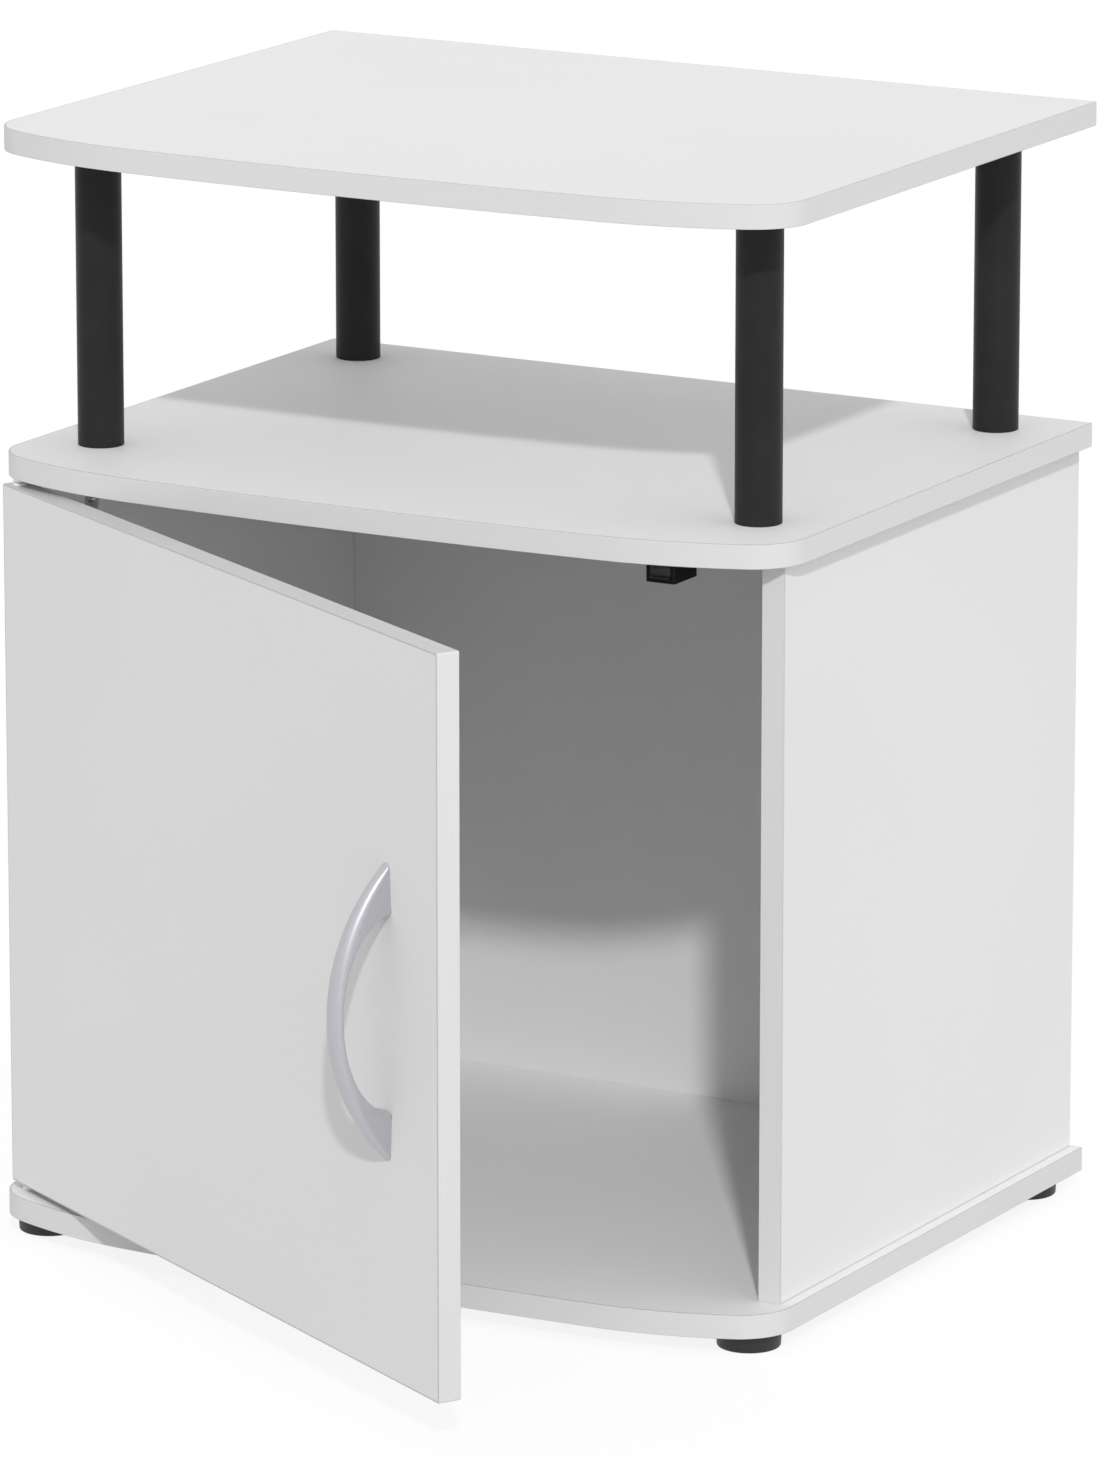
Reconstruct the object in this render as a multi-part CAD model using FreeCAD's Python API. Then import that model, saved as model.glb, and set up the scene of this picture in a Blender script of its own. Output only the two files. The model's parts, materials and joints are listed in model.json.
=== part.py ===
import FreeCAD, Part
import math
import os

from FreeCAD import Vector

# Storage side table: a cabinet with one swinging door under a top board on four tubes.
# All sizes are millimetres, +Z is up and the front faces -Y. The table is drawn about the
# middle of its bottom board. The finished nodes are then moved along Y, so that the origin
# lies on the floor in the middle of the whole footprint, the open door included.

# ---------------------------------------------------------------- driving dimensions

# Boards: straight back and sides, rounded shoulders and a bowed front
board_width = 480.0
board_thickness = 13.0
upper_depth = 384.5  # top and middle boards, back edge to the middle of the bow
bottom_depth = 394.0
bow_radius = 2600.0
shoulder_radius = 240.0
corner_radius = 32.0
shoulder_span = 98.0  # width at each end of the bow taken by shoulder and corner
band_thickness = 1.0  # edge banding of the boards, the door and the side panels

# Levels, from the floor up
foot_height = 10.0
cabinet_height = 397.0  # clear height between the bottom and the middle board
tube_length = 164.0  # clear height between the middle and the top board

# Side panels of the cabinet
panel_thickness = 13.0
panel_side_inset = 7.3  # outer face in from the boards' side edges
panel_back_inset = 1.6
panel_corner_reach = 10.0  # front edge ahead of the centres of the upper boards' corners

# Back panel, held in grooves
back_panel_thickness = 3.0
back_panel_setback = 8.0  # its back face in from the side panels' back edges
groove_depth = 5.0
groove_side_play = 0.15
groove_end_play = 0.5

# Door and its swing
door_thickness = 13.0
door_side_overhang = 0.5  # past the outer face of each side panel
door_end_gap = 4.0  # between the door and the board above or below it
door_corner_clearance = 0.7  # left to the side panel when the hinge corner swings past
door_open_angle = 30.0

# Pivot hinge: a collared pin in each board turns in a flanged bush in the door
pivot_edge_distance = 8.0  # axis in from the door's hinge edge
pin_diameter = 5.0
pin_collar_diameter = 8.0
pin_length_in_door = 12.0
pin_chamfer = 0.6
bush_diameter = 7.5
bush_length = 14.0
bush_flange_diameter = 8.4
bush_flange_thickness = 1.5
pivot_radial_play = 0.05
pivot_thrust_play = 0.3

# Bow handle
handle_hole_spacing = 128.0
handle_end_margin = 14.0  # hole centre to tip
handle_pad_margin = 12.25  # hole centre to the inner end of the pad
handle_width = 12.0  # at mid-length
handle_tip_width = 7.0  # where the round tips begin
handle_projection = 34.0
handle_thickness = 5.8  # at mid-length, under the crown
handle_crown = 2.5  # rise of the outer face across its width
handle_opening_setback = 2.7  # centre of the opening's ellipse, behind the door's face
handle_edge_radius = 0.7
handle_free_edge_distance = 51.3  # centre line in from the door's free edge
handle_drop = 1.4  # centre below the door's middle
handle_thread_depth = 7.0

# Tubes and their ties
tube_diameter = 25.0
tube_wall = 1.5
tube_side_inset = 39.4
tube_back_inset = 39.4
tube_front_inset = 72.7
plug_length = 12.0
plug_wall = 1.6
plug_web = 3.0
tie_diameter = 6.0
tie_head_diameter = 14.0
tie_head_height = 2.5
tie_hex_width = 4.0
tie_hex_depth = 1.7
tie_washer_diameter = 17.0
tie_washer_thickness = 1.2
tie_thread_depth = 9.0  # reach into the insert nut
nut_diameter = 10.0
nut_end_play = 0.5

# Feet
foot_diameter = 35.0
foot_taper = 0.6  # less radius at the floor than at the board
foot_chamfer = 0.8
foot_side_inset = 23.4
foot_back_inset = 24.0
foot_front_inset = 46.4
foot_bore_depth = 5.0
foot_bore_diameter = 9.0

# Magnetic catch under the middle board and its strike on the door
catch_width = 17.4
catch_depth = 25.0
catch_height = 17.0
catch_side_distance = 79.1  # centre in from the boards' right edge
catch_corner_radius = 1.5
catch_floor = 2.0  # wall under the magnet stack
magnet_width = 12.0
magnet_depth = 12.0
magnet_height = 5.0
pole_thickness = 1.2
pole_projection = 1.0
catch_pocket_play = 0.2
catch_screw_spacing = 9.0
catch_screw_setback = 19.0
catch_bore_depth = 7.0
strike_width = 18.0
strike_height = 12.0
strike_thickness = 1.2
strike_clearance = 0.3

# Cam locks, cam bolts and dowels at both ends of each side panel
cam_diameter = 15.0
cam_skin = 3.2  # panel left behind the cam
cam_end_distance = 24.0
cam_channel_diameter = 7.0  # the channel in the cam itself is as wide
cam_slot_width = 1.4
cam_slot_length = 8.0
cam_slot_depth = 1.8
cam_back_offset = 50.0
cam_front_offset = 52.0
bolt_diameter = 5.0
bolt_head_diameter = 6.4
bolt_head_height = 3.0
dowel_diameter = 6.0
dowel_chamfer = 0.6
dowel_length_in_panel = 16.0
dowel_cam_distance = 32.0

# Screws
handle_screw_diameter = 4.0
handle_screw_head_diameter = 8.0
handle_screw_head_height = 2.6
wood_screw_diameter = 3.5
wood_screw_head_diameter = 7.0
wood_screw_head_height = 2.2
catch_screw_diameter = 3.0
catch_screw_head_diameter = 5.6
catch_screw_head_height = 1.8
strike_screw_length = 9.0

# Shared fits
blind_skin = 3.0  # board left beyond every blind hole
hole_play = 0.1  # a hole is this much wider than what sits in it
hole_end_play = 0.3

# ---------------------------------------------------------------- outline of the boards

half_width = board_width / 2
back_y = bottom_depth / 2
bow_turn = math.asin((half_width - shoulder_span) / bow_radius)
shoulder_reach = half_width - corner_radius - (bow_radius - shoulder_radius) * math.sin(bow_turn)
shoulder_turn = math.asin(shoulder_reach / (shoulder_radius - corner_radius))


def around(centre, radius, turn):
    """Point at a radius from a centre, turned from straight ahead (-Y) towards +X."""
    return centre + Vector(math.sin(turn), -math.cos(turn), 0) * radius


def bow_centre(depth):
    """Centre of a board's long front arc."""
    return Vector(0, back_y - depth + bow_radius, 0)


def shoulder_centre(depth):
    """Centre of the right shoulder arc, tangent to the bow."""
    return around(bow_centre(depth), bow_radius - shoulder_radius, bow_turn)


def corner_centre(depth):
    """Centre of the right corner arc, tangent to the shoulder and to the side."""
    return around(shoulder_centre(depth), shoulder_radius - corner_radius, shoulder_turn)


# ---------------------------------------------------------------- derived places

blind_depth = board_thickness - blind_skin

bottom_z = foot_height
cabinet_z = bottom_z + board_thickness
middle_z = cabinet_z + cabinet_height
shelf_z = middle_z + board_thickness
top_z = shelf_z + tube_length

panel_outer_x = half_width - panel_side_inset
panel_inner_x = panel_outer_x - panel_thickness
panel_mid_x = panel_outer_x - panel_thickness / 2
panel_back_y = back_y - panel_back_inset
panel_front_y = corner_centre(upper_depth).y - panel_corner_reach

back_panel_back_y = panel_back_y - back_panel_setback
back_panel_front_y = back_panel_back_y - back_panel_thickness

door_width = 2 * (panel_outer_x + door_side_overhang)
door_height = cabinet_height - 2 * door_end_gap
door_z = cabinet_z + door_end_gap
door_top_z = door_z + door_height
corner_sweep = math.hypot(pivot_edge_distance, door_thickness / 2)
pivot_x = pivot_edge_distance - door_width / 2
pivot_y = panel_front_y - corner_sweep - door_corner_clearance
door_front_y = pivot_y - door_thickness / 2
door_back_y = pivot_y + door_thickness / 2
pin_collar_height = door_end_gap - bush_flange_thickness - pivot_thrust_play

handle_x = door_width / 2 - handle_free_edge_distance
handle_z = door_z + door_height / 2 - handle_drop
handle_length = handle_hole_spacing + 2 * handle_end_margin
handle_screw_z = [handle_z - handle_hole_spacing / 2, handle_z + handle_hole_spacing / 2]

catch_x = half_width - catch_side_distance
strike_face_y = door_back_y + strike_thickness
pole_front_y = strike_face_y + strike_clearance
catch_front_y = pole_front_y + pole_projection
catch_screw_y = catch_front_y + catch_screw_setback
catch_z = middle_z - catch_height
magnet_z = catch_z + catch_floor + catch_pocket_play + pole_thickness
strike_z = magnet_z + magnet_height / 2

tube_bore = tube_diameter - 2 * tube_wall
tube_x = half_width - tube_side_inset
tube_back_y = back_y - tube_back_inset
tube_front_y = back_y - upper_depth + tube_front_inset
tube_places = [
    ("front_left", -tube_x, tube_front_y),
    ("front_right", tube_x, tube_front_y),
    ("back_left", -tube_x, tube_back_y),
    ("back_right", tube_x, tube_back_y),
]

foot_x = half_width - foot_side_inset
foot_back_y = back_y - foot_back_inset
foot_front_y = back_y - bottom_depth + foot_front_inset
foot_places = [
    ("front_left", -foot_x, foot_front_y),
    ("front_right", foot_x, foot_front_y),
    ("back_left", -foot_x, foot_back_y),
    ("back_right", foot_x, foot_back_y),
]

cam_ys = [panel_back_y - cam_back_offset, panel_front_y + cam_front_offset]
dowel_ys = [cam_ys[0] - dowel_cam_distance, cam_ys[1] + dowel_cam_distance]

UP = Vector(0, 0, 1)
DOWN = Vector(0, 0, -1)
FORWARD = Vector(0, -1, 0)
BACKWARD = Vector(0, 1, 0)


# ---------------------------------------------------------------- general helpers

def box(x_range, y_range, z_range):
    """Block between two limits on each axis."""
    lows = [min(limits) for limits in (x_range, y_range, z_range)]
    sizes = [abs(limits[1] - limits[0]) for limits in (x_range, y_range, z_range)]
    return Part.makeBox(sizes[0], sizes[1], sizes[2], Vector(*lows))


def rod(diameter, length, start, direction=UP):
    """Plain cylinder from a start point along a direction."""
    return Part.makeCylinder(diameter / 2, length, start, direction)


def turned(outline, start, direction=UP):
    """Solid of revolution of (radius, height) points, its axis set at start along direction."""
    points = [Vector(radius, 0, height) for radius, height in outline]
    face = Part.Face(Part.makePolygon(points + [points[0]]))
    solid = face.revolve(Vector(0, 0, 0), UP, 360)
    return placed(solid, start, direction)


def stepped(steps, start, direction=UP):
    """Turned piece from (diameter, length) steps, one after the other."""
    outline = [(0, 0)]
    height = 0
    for diameter, length in steps:
        outline.append((diameter / 2, height))
        height += length
        outline.append((diameter / 2, height))
    outline.append((0, height))
    return turned(outline, start, direction)


def placed(solid, start, direction):
    """Turn a solid drawn along +Z at the origin to a direction and move it to its start."""
    moved = solid.copy()
    moved.Placement = FreeCAD.Placement(start, FreeCAD.Rotation(UP, direction)) * moved.Placement
    return moved


def chamfered_rod(diameter, length, chamfer, start, direction=UP):
    """Round peg with both ends chamfered."""
    radius = diameter / 2
    outline = [(0, 0), (radius - chamfer, 0), (radius, chamfer)]
    outline += [(radius, length - chamfer), (radius - chamfer, length), (0, length)]
    return turned(outline, start, direction)


def pan_screw(diameter, length, head_diameter, head_height, start, direction):
    """Screw with a tapered pan head; start is under the head, direction runs down the shank."""
    thread = diameter / 2
    head = head_diameter / 2
    outline = [(0, -head_height), (head - head_height / 2, -head_height), (head, 0),
               (thread, 0), (thread, length), (0, length)]
    return turned(outline, start, direction)


def countersunk_screw(diameter, length, head_diameter, start, direction):
    """Screw with its flat head flush at start; direction runs down the shank."""
    cone = (head_diameter - diameter) / 2
    outline = [(0, 0), (head_diameter / 2, 0), (diameter / 2, cone), (diameter / 2, length), (0, length)]
    return turned(outline, start, direction)


def hex_prism(width, height, start):
    """Hexagonal prism across flats, standing on start."""
    corner = width / math.sqrt(3)
    ring = [Vector(corner * math.cos(math.radians(60 * k)), corner * math.sin(math.radians(60 * k)), 0)
            for k in range(7)]
    return Part.Face(Part.makePolygon(ring)).extrude(UP * height).translated(start)


def mirrored_pair(make):
    """Shapes that make returns for the left (-1) and the right (+1) side."""
    return [make(-1), make(1)]


# ---------------------------------------------------------------- boards

def board_face(depth, inset, z):
    """Plan face of a board, every edge moved in by inset."""
    def arc(centre, radius, turn_from, turn_to):
        turns = (turn_from, (turn_from + turn_to) / 2, turn_to)
        return Part.Arc(*[around(centre, radius - inset, turn) for turn in turns]).toShape()

    right = [
        arc(shoulder_centre(depth), shoulder_radius, bow_turn, shoulder_turn),
        arc(corner_centre(depth), corner_radius, shoulder_turn, math.pi / 2),
    ]
    left = [edge.mirror(Vector(0, 0, 0), Vector(1, 0, 0)) for edge in right]
    bow = arc(bow_centre(depth), bow_radius, -bow_turn, bow_turn)
    side_x = half_width - inset
    side_y = corner_centre(depth).y
    rim_y = back_y - inset
    straight = Part.makePolygon([Vector(-side_x, side_y, 0), Vector(-side_x, rim_y, 0),
                                 Vector(side_x, rim_y, 0), Vector(side_x, side_y, 0)]).Edges
    outline = Part.Wire(Part.__sortEdges__([bow] + left + right + straight))
    return Part.Face(outline).translated(Vector(0, 0, z))


def board_blank(depth, z):
    """Laminated board inside its banding."""
    return board_face(depth, band_thickness, z).extrude(UP * board_thickness)


def board_band(depth, z):
    """Edge banding that runs round a board."""
    outer = board_face(depth, 0, z).extrude(UP * board_thickness)
    return outer.cut(board_blank(depth, z))


def back_panel_groove(z_range):
    """Groove that takes one end of the back panel, as a solid to cut away."""
    reach = panel_inner_x + groove_depth
    y_range = (back_panel_front_y - groove_side_play, back_panel_back_y + groove_side_play)
    return box((-reach, reach), y_range, z_range)


def board_joint_holes(face_z, direction):
    """Holes in a board's face for the cam bolts and dowels of both side panels."""
    holes = []
    for x in (-panel_mid_x, panel_mid_x):
        for y in cam_ys:
            holes.append(rod(bolt_diameter + hole_play, blind_depth + hole_end_play,
                             Vector(x, y, face_z), direction))
        for y in dowel_ys:
            holes.append(rod(dowel_diameter + hole_play, blind_depth + hole_end_play,
                             Vector(x, y, face_z), direction))
    return holes


def pin_hole(face_z, direction):
    """Hole in a board's face for the shank of a pivot pin."""
    place = Vector(pivot_x, pivot_y, face_z)
    return rod(pin_diameter + hole_play, blind_depth + hole_end_play, place, direction)


def top_board():
    """Top board, drilled from below for the insert nuts."""
    holes = [rod(nut_diameter + hole_play, blind_depth + hole_end_play, Vector(x, y, top_z))
             for _, x, y in tube_places]
    return board_blank(upper_depth, top_z).cut(holes)


def middle_board():
    """Middle board: roof of the cabinet and floor of the open shelf."""
    cuts = board_joint_holes(middle_z, UP)
    cuts.append(pin_hole(middle_z, UP))
    cuts.append(back_panel_groove((middle_z, middle_z + groove_depth)))
    cuts += [rod(tie_diameter + 2 * hole_play, board_thickness, Vector(x, y, middle_z))
             for _, x, y in tube_places]
    cuts += [rod(catch_screw_diameter + hole_play, blind_depth, Vector(x, catch_screw_y, middle_z))
             for x in catch_screw_xs()]
    return board_blank(upper_depth, middle_z).cut(cuts)


def bottom_board():
    """Bottom board: floor of the cabinet, on four feet."""
    cuts = board_joint_holes(cabinet_z, DOWN)
    cuts.append(pin_hole(cabinet_z, DOWN))
    cuts.append(back_panel_groove((cabinet_z - groove_depth, cabinet_z)))
    cuts += [rod(wood_screw_diameter + hole_play, blind_depth, Vector(x, y, bottom_z))
             for _, x, y in foot_places]
    return board_blank(bottom_depth, bottom_z).cut(cuts)


# ---------------------------------------------------------------- side and back panels

def panel_ends():
    """Height of each end of a side panel, with the direction that leads into the panel."""
    return [(cabinet_z, UP), (middle_z, DOWN)]


def side_panel(side):
    """Side panel with its cam pockets, bolt and dowel holes and the back panel's groove."""
    core_front_y = panel_front_y + band_thickness
    panel = box((side * panel_inner_x, side * panel_outer_x), (core_front_y, panel_back_y),
                (cabinet_z, middle_z))
    cuts = [back_panel_groove((cabinet_z, middle_z))]
    for end_z, inward in panel_ends():
        for y in cam_ys:
            end = Vector(side * panel_mid_x, y, end_z)
            pocket = Vector(side * panel_inner_x, y, end_z) + inward * cam_end_distance
            cuts.append(rod(cam_channel_diameter, cam_end_distance, end, inward))
            cuts.append(rod(cam_diameter + hole_play, panel_thickness - cam_skin, pocket,
                            Vector(side, 0, 0)))
        for y in dowel_ys:
            end = Vector(side * panel_mid_x, y, end_z)
            cuts.append(rod(dowel_diameter + hole_play, dowel_length_in_panel + hole_end_play,
                            end, inward))
    return panel.cut(cuts)


def side_panel_bands():
    """Banding on the front edge of each side panel."""
    def strip(side):
        return box((side * panel_inner_x, side * panel_outer_x),
                   (panel_front_y, panel_front_y + band_thickness), (cabinet_z, middle_z))
    return mirrored_pair(strip)


def back_panel():
    """Thin back panel that stands in the grooves of the boards and side panels."""
    reach = groove_depth - groove_end_play
    half = panel_inner_x + reach
    return box((-half, half), (back_panel_front_y, back_panel_back_y), (cabinet_z - reach, middle_z + reach))


def cam_locks():
    """Cam discs: a channel takes the bolt head, a cross slot takes the driver."""
    cams = []
    depth = panel_thickness - cam_skin - hole_end_play
    bolt_depth = panel_thickness / 2
    for side in (-1, 1):
        outward = Vector(side, 0, 0)
        for end_z, inward in panel_ends():
            for y in cam_ys:
                face = Vector(side * panel_inner_x, y, end_z) + inward * cam_end_distance
                disc = rod(cam_diameter, depth, face, outward)
                channel = cam_channel(face + outward * bolt_depth, inward)
                slots = [cam_slot(face, side, length_y, length_z) for length_y, length_z in
                         ((cam_slot_length, cam_slot_width), (cam_slot_width, cam_slot_length))]
                cams.append(disc.cut([channel] + slots))
    return cams


def cam_channel(centre, inward):
    """Square channel from past a cam's middle out through its rim, as a solid to cut away."""
    half = cam_channel_diameter / 2
    deep_end = centre + inward * bolt_head_height
    rim_end = centre - inward * (cam_diameter / 2 + hole_play)
    return box((centre.x - half, centre.x + half), (centre.y - half, centre.y + half),
               (deep_end.z, rim_end.z))


def cam_slot(face, side, length_y, length_z):
    """One bar of the cross slot in a cam's face, as a solid to cut away."""
    return box((face.x, face.x + side * cam_slot_depth),
               (face.y - length_y / 2, face.y + length_y / 2),
               (face.z - length_z / 2, face.z + length_z / 2))


def cam_bolts():
    """Bolts screwed into the boards, with heads that the cams draw in."""
    shank = blind_depth + cam_end_distance - bolt_head_height / 2
    steps = [(bolt_diameter, shank), (bolt_head_diameter, bolt_head_height)]
    return [stepped(steps, Vector(x, y, end_z) - inward * blind_depth, inward)
            for x in (-panel_mid_x, panel_mid_x)
            for end_z, inward in panel_ends()
            for y in cam_ys]


def dowels():
    """Wooden dowels between the boards and the ends of the side panels."""
    length = blind_depth + dowel_length_in_panel
    return [chamfered_rod(dowel_diameter, length, dowel_chamfer,
                          Vector(x, y, end_z) - inward * blind_depth, inward)
            for x in (-panel_mid_x, panel_mid_x)
            for end_z, inward in panel_ends()
            for y in dowel_ys]


# ---------------------------------------------------------------- tubes and ties

def tube(x, y):
    """Steel tube between the middle and the top board."""
    place = Vector(x, y, shelf_z)
    return rod(tube_diameter, tube_length, place).cut(rod(tube_bore, tube_length, place))


def end_plug(place, direction):
    """Moulded cup that centres the tie bolt in one end of a tube."""
    skirt = tube_bore / 2 - hole_play
    bore = tie_diameter / 2 + hole_play
    outline = [(bore, 0), (skirt, 0), (skirt, plug_length), (skirt - plug_wall, plug_length),
               (skirt - plug_wall, plug_web), (bore, plug_web)]
    return turned(outline, place, direction)


def tie_bolt(x, y):
    """Bolt from under the middle board, up through a tube into the top board's nut."""
    shank = tie_washer_thickness + board_thickness + tube_length + tie_thread_depth
    head_z = middle_z - tie_washer_thickness - tie_head_height
    bolt = stepped([(tie_head_diameter, tie_head_height), (tie_diameter, shank)], Vector(x, y, head_z))
    return bolt.cut(hex_prism(tie_hex_width, tie_hex_depth, Vector(x, y, head_z)))


def tie_washer(x, y):
    """Washer between a tie bolt's head and the middle board."""
    place = Vector(x, y, middle_z - tie_washer_thickness)
    bore = rod(tie_diameter + 2 * hole_play, tie_washer_thickness, place)
    return rod(tie_washer_diameter, tie_washer_thickness, place).cut(bore)


def insert_nut(x, y):
    """Threaded insert in the underside of the top board."""
    place = Vector(x, y, top_z)
    length = blind_depth - nut_end_play
    return rod(nut_diameter, length, place).cut(rod(tie_diameter + hole_play, length, place))


# ---------------------------------------------------------------- feet

def foot(x, y):
    """Moulded foot, slightly tapered, with a chamfered lower edge and a bore for its screw."""
    top = foot_diameter / 2
    low = top - foot_taper
    bore = foot_bore_diameter / 2
    hole = wood_screw_diameter / 2 + hole_play
    outline = [(bore, 0), (low - foot_chamfer, 0), (low, foot_chamfer), (top, foot_height),
               (hole, foot_height), (hole, foot_bore_depth), (bore, foot_bore_depth)]
    return turned(outline, Vector(x, y, 0))


def foot_screw(x, y):
    """Screw that holds a foot, its head sunk in the foot's bore."""
    length = foot_height - foot_bore_depth + blind_depth - hole_end_play
    return pan_screw(wood_screw_diameter, length, wood_screw_head_diameter, wood_screw_head_height,
                     Vector(x, y, foot_bore_depth), UP)


# ---------------------------------------------------------------- door, drawn closed

def door_block(inset):
    """Door's full block, its four narrow sides moved in by inset."""
    half = door_width / 2 - inset
    return box((-half, half), (door_front_y, door_back_y), (door_z + inset, door_top_z - inset))


def pivot_ends():
    """Each end of the door: its height and the direction that leads into the door."""
    return [(door_z, UP), (door_top_z, DOWN)]


def bush_holes():
    """Holes for the bushes in the door's lower and upper edges."""
    return [rod(bush_diameter + hole_play, bush_length + hole_end_play, Vector(pivot_x, pivot_y, z), inward)
            for z, inward in pivot_ends()]


def door_panel():
    """Door board inside its banding, drilled for bushes, handle and strike."""
    cuts = bush_holes()
    cuts += [rod(handle_screw_diameter + hole_play, door_thickness, Vector(handle_x, door_front_y, z),
                 BACKWARD) for z in handle_screw_z]
    cuts.append(rod(catch_screw_diameter + hole_play, strike_screw_length,
                    Vector(catch_x, door_back_y, strike_z), FORWARD))
    return door_block(band_thickness).cut(cuts)


def door_band():
    """Edge banding round the door."""
    return door_block(0).cut([door_block(band_thickness)] + bush_holes())


def pivot_bush(end_z, inward):
    """Flanged nylon bush in one end of the door."""
    bore = pin_diameter + 2 * pivot_radial_play
    start = Vector(pivot_x, pivot_y, end_z) - inward * bush_flange_thickness
    steps = [(bush_flange_diameter, bush_flange_thickness), (bush_diameter, bush_length)]
    return stepped(steps, start, inward).cut(rod(bore, bush_flange_thickness + bush_length, start, inward))


def pivot_pin(face_z, inward):
    """Collared steel pin: the shank sits in a board, the journal in the door's bush."""
    radius = pin_diameter / 2
    collar = pin_collar_diameter / 2
    tip = pin_collar_height + bush_flange_thickness + pivot_thrust_play + pin_length_in_door
    outline = [(0, -blind_depth), (radius - pin_chamfer, -blind_depth), (radius, pin_chamfer - blind_depth),
               (radius, 0), (collar, 0), (collar, pin_collar_height), (radius, pin_collar_height),
               (radius, tip - pin_chamfer), (radius - pin_chamfer, tip), (0, tip)]
    return turned(outline, Vector(pivot_x, pivot_y, face_z), inward)


def door_handle():
    """Bow handle: a crowned rim arched from tip to tip, opened below by part of an ellipse."""
    half_length = handle_length / 2
    half = handle_width / 2
    rim = (half_length ** 2 + handle_projection ** 2) / (2 * handle_projection)
    axis_y = door_front_y + rim - handle_projection
    axis = Vector(handle_x, axis_y, handle_z)

    crown_radius = (half ** 2 + handle_crown ** 2) / (2 * handle_crown)
    flank = half + handle_edge_radius  # the wheel is wider than the handle, and the footprint trims it
    shoulder = rim - crown_radius + math.sqrt(crown_radius ** 2 - flank ** 2)
    crown = Part.Arc(Vector(-flank, shoulder, 0), Vector(0, rim, 0), Vector(flank, shoulder, 0))
    sides = Part.makePolygon([Vector(flank, shoulder, 0), Vector(flank, 0, 0), Vector(-flank, 0, 0),
                              Vector(-flank, shoulder, 0)])
    section = Part.Face(Part.Wire([crown.toShape()] + sides.Edges)).translated(axis)
    wheel = section.revolve(axis, Vector(1, 0, 0), 360)

    bow = wheel.common(handle_footprint(half_length)).cut(handle_opening())
    inner_edges = [edge for edge in bow.Edges if on_opening(edge)]
    bow = bow.makeFillet(handle_edge_radius, inner_edges)
    threads = [rod(handle_screw_diameter + hole_play, handle_thread_depth + hole_end_play,
                   Vector(handle_x, door_front_y, z), FORWARD) for z in handle_screw_z]
    return bow.cut(threads)


def handle_footprint(half_length):
    """Outline of the handle as seen from the front, narrowed to round tips, drawn out from the door."""
    middle = Vector(handle_x, door_front_y, handle_z)
    half = Vector(handle_width / 2, 0, 0)
    tip = Vector(handle_tip_width / 2, 0, 0)
    end = Vector(0, 0, half_length)
    neck = Vector(0, 0, half_length - handle_tip_width / 2)
    sides = [Part.Arc(middle + tip * side - neck, middle + half * side, middle + tip * side + neck).toShape()
             for side in (-1, 1)]
    tips = [Part.Arc(middle - tip + neck * way, middle + end * way, middle + tip + neck * way).toShape()
            for way in (-1, 1)]
    outline = Part.Wire(Part.__sortEdges__(sides + tips))
    return Part.Face(outline).extrude(Vector(0, -handle_projection - handle_crown, 0))


def opening_semi_axes():
    """Semi-axes of the finger opening's ellipse, along the door and out from it."""
    half_opening = handle_hole_spacing / 2 - handle_pad_margin  # where the ellipse meets the door
    reach = handle_opening_setback + handle_projection - handle_thickness
    return half_opening / math.sqrt(1 - (handle_opening_setback / reach) ** 2), reach


def handle_opening():
    """Elliptical finger opening through the bow, as a solid to cut away."""
    along, reach = opening_semi_axes()
    centre = Vector(handle_x - handle_width, door_front_y + handle_opening_setback, handle_z)
    ellipse = Part.Ellipse(centre + Vector(0, 0, along), centre + Vector(0, -reach, 0), centre)
    return Part.Face(Part.Wire(ellipse.toShape())).extrude(Vector(2 * handle_width, 0, 0))


def on_opening(edge):
    """True for the two long edges where the opening meets the handle's sides."""
    along, reach = opening_semi_axes()
    centre_y = door_front_y + handle_opening_setback
    points = [edge.valueAt(edge.FirstParameter + share * (edge.LastParameter - edge.FirstParameter))
              for share in (0.2, 0.5, 0.8)]
    return edge.Length > 2 * along and all(
        abs(((point.z - handle_z) / along) ** 2 + ((point.y - centre_y) / reach) ** 2 - 1) < 1e-3
        for point in points)


def handle_screws():
    """Screws from the back of the door into the handle."""
    length = door_thickness + handle_thread_depth
    return [pan_screw(handle_screw_diameter, length, handle_screw_head_diameter, handle_screw_head_height,
                      Vector(handle_x, door_back_y, z), FORWARD) for z in handle_screw_z]


def strike_plate():
    """Steel plate on the back of the door that the magnet holds."""
    half = strike_width / 2
    plate = box((catch_x - half, catch_x + half), (door_back_y, strike_face_y),
                (strike_z - strike_height / 2, strike_z + strike_height / 2))
    return plate.cut(strike_screw(hole_play))


def strike_screw(play=0.0):
    """Countersunk screw through the strike plate; play widens it into a hole."""
    return countersunk_screw(catch_screw_diameter + play, strike_screw_length,
                             catch_screw_head_diameter + play, Vector(catch_x, strike_face_y, strike_z),
                             FORWARD)


# ---------------------------------------------------------------- magnetic catch

def catch_screw_xs():
    """Where the catch's two screws stand across the cabinet."""
    return [catch_x - catch_screw_spacing / 2, catch_x + catch_screw_spacing / 2]


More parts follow.
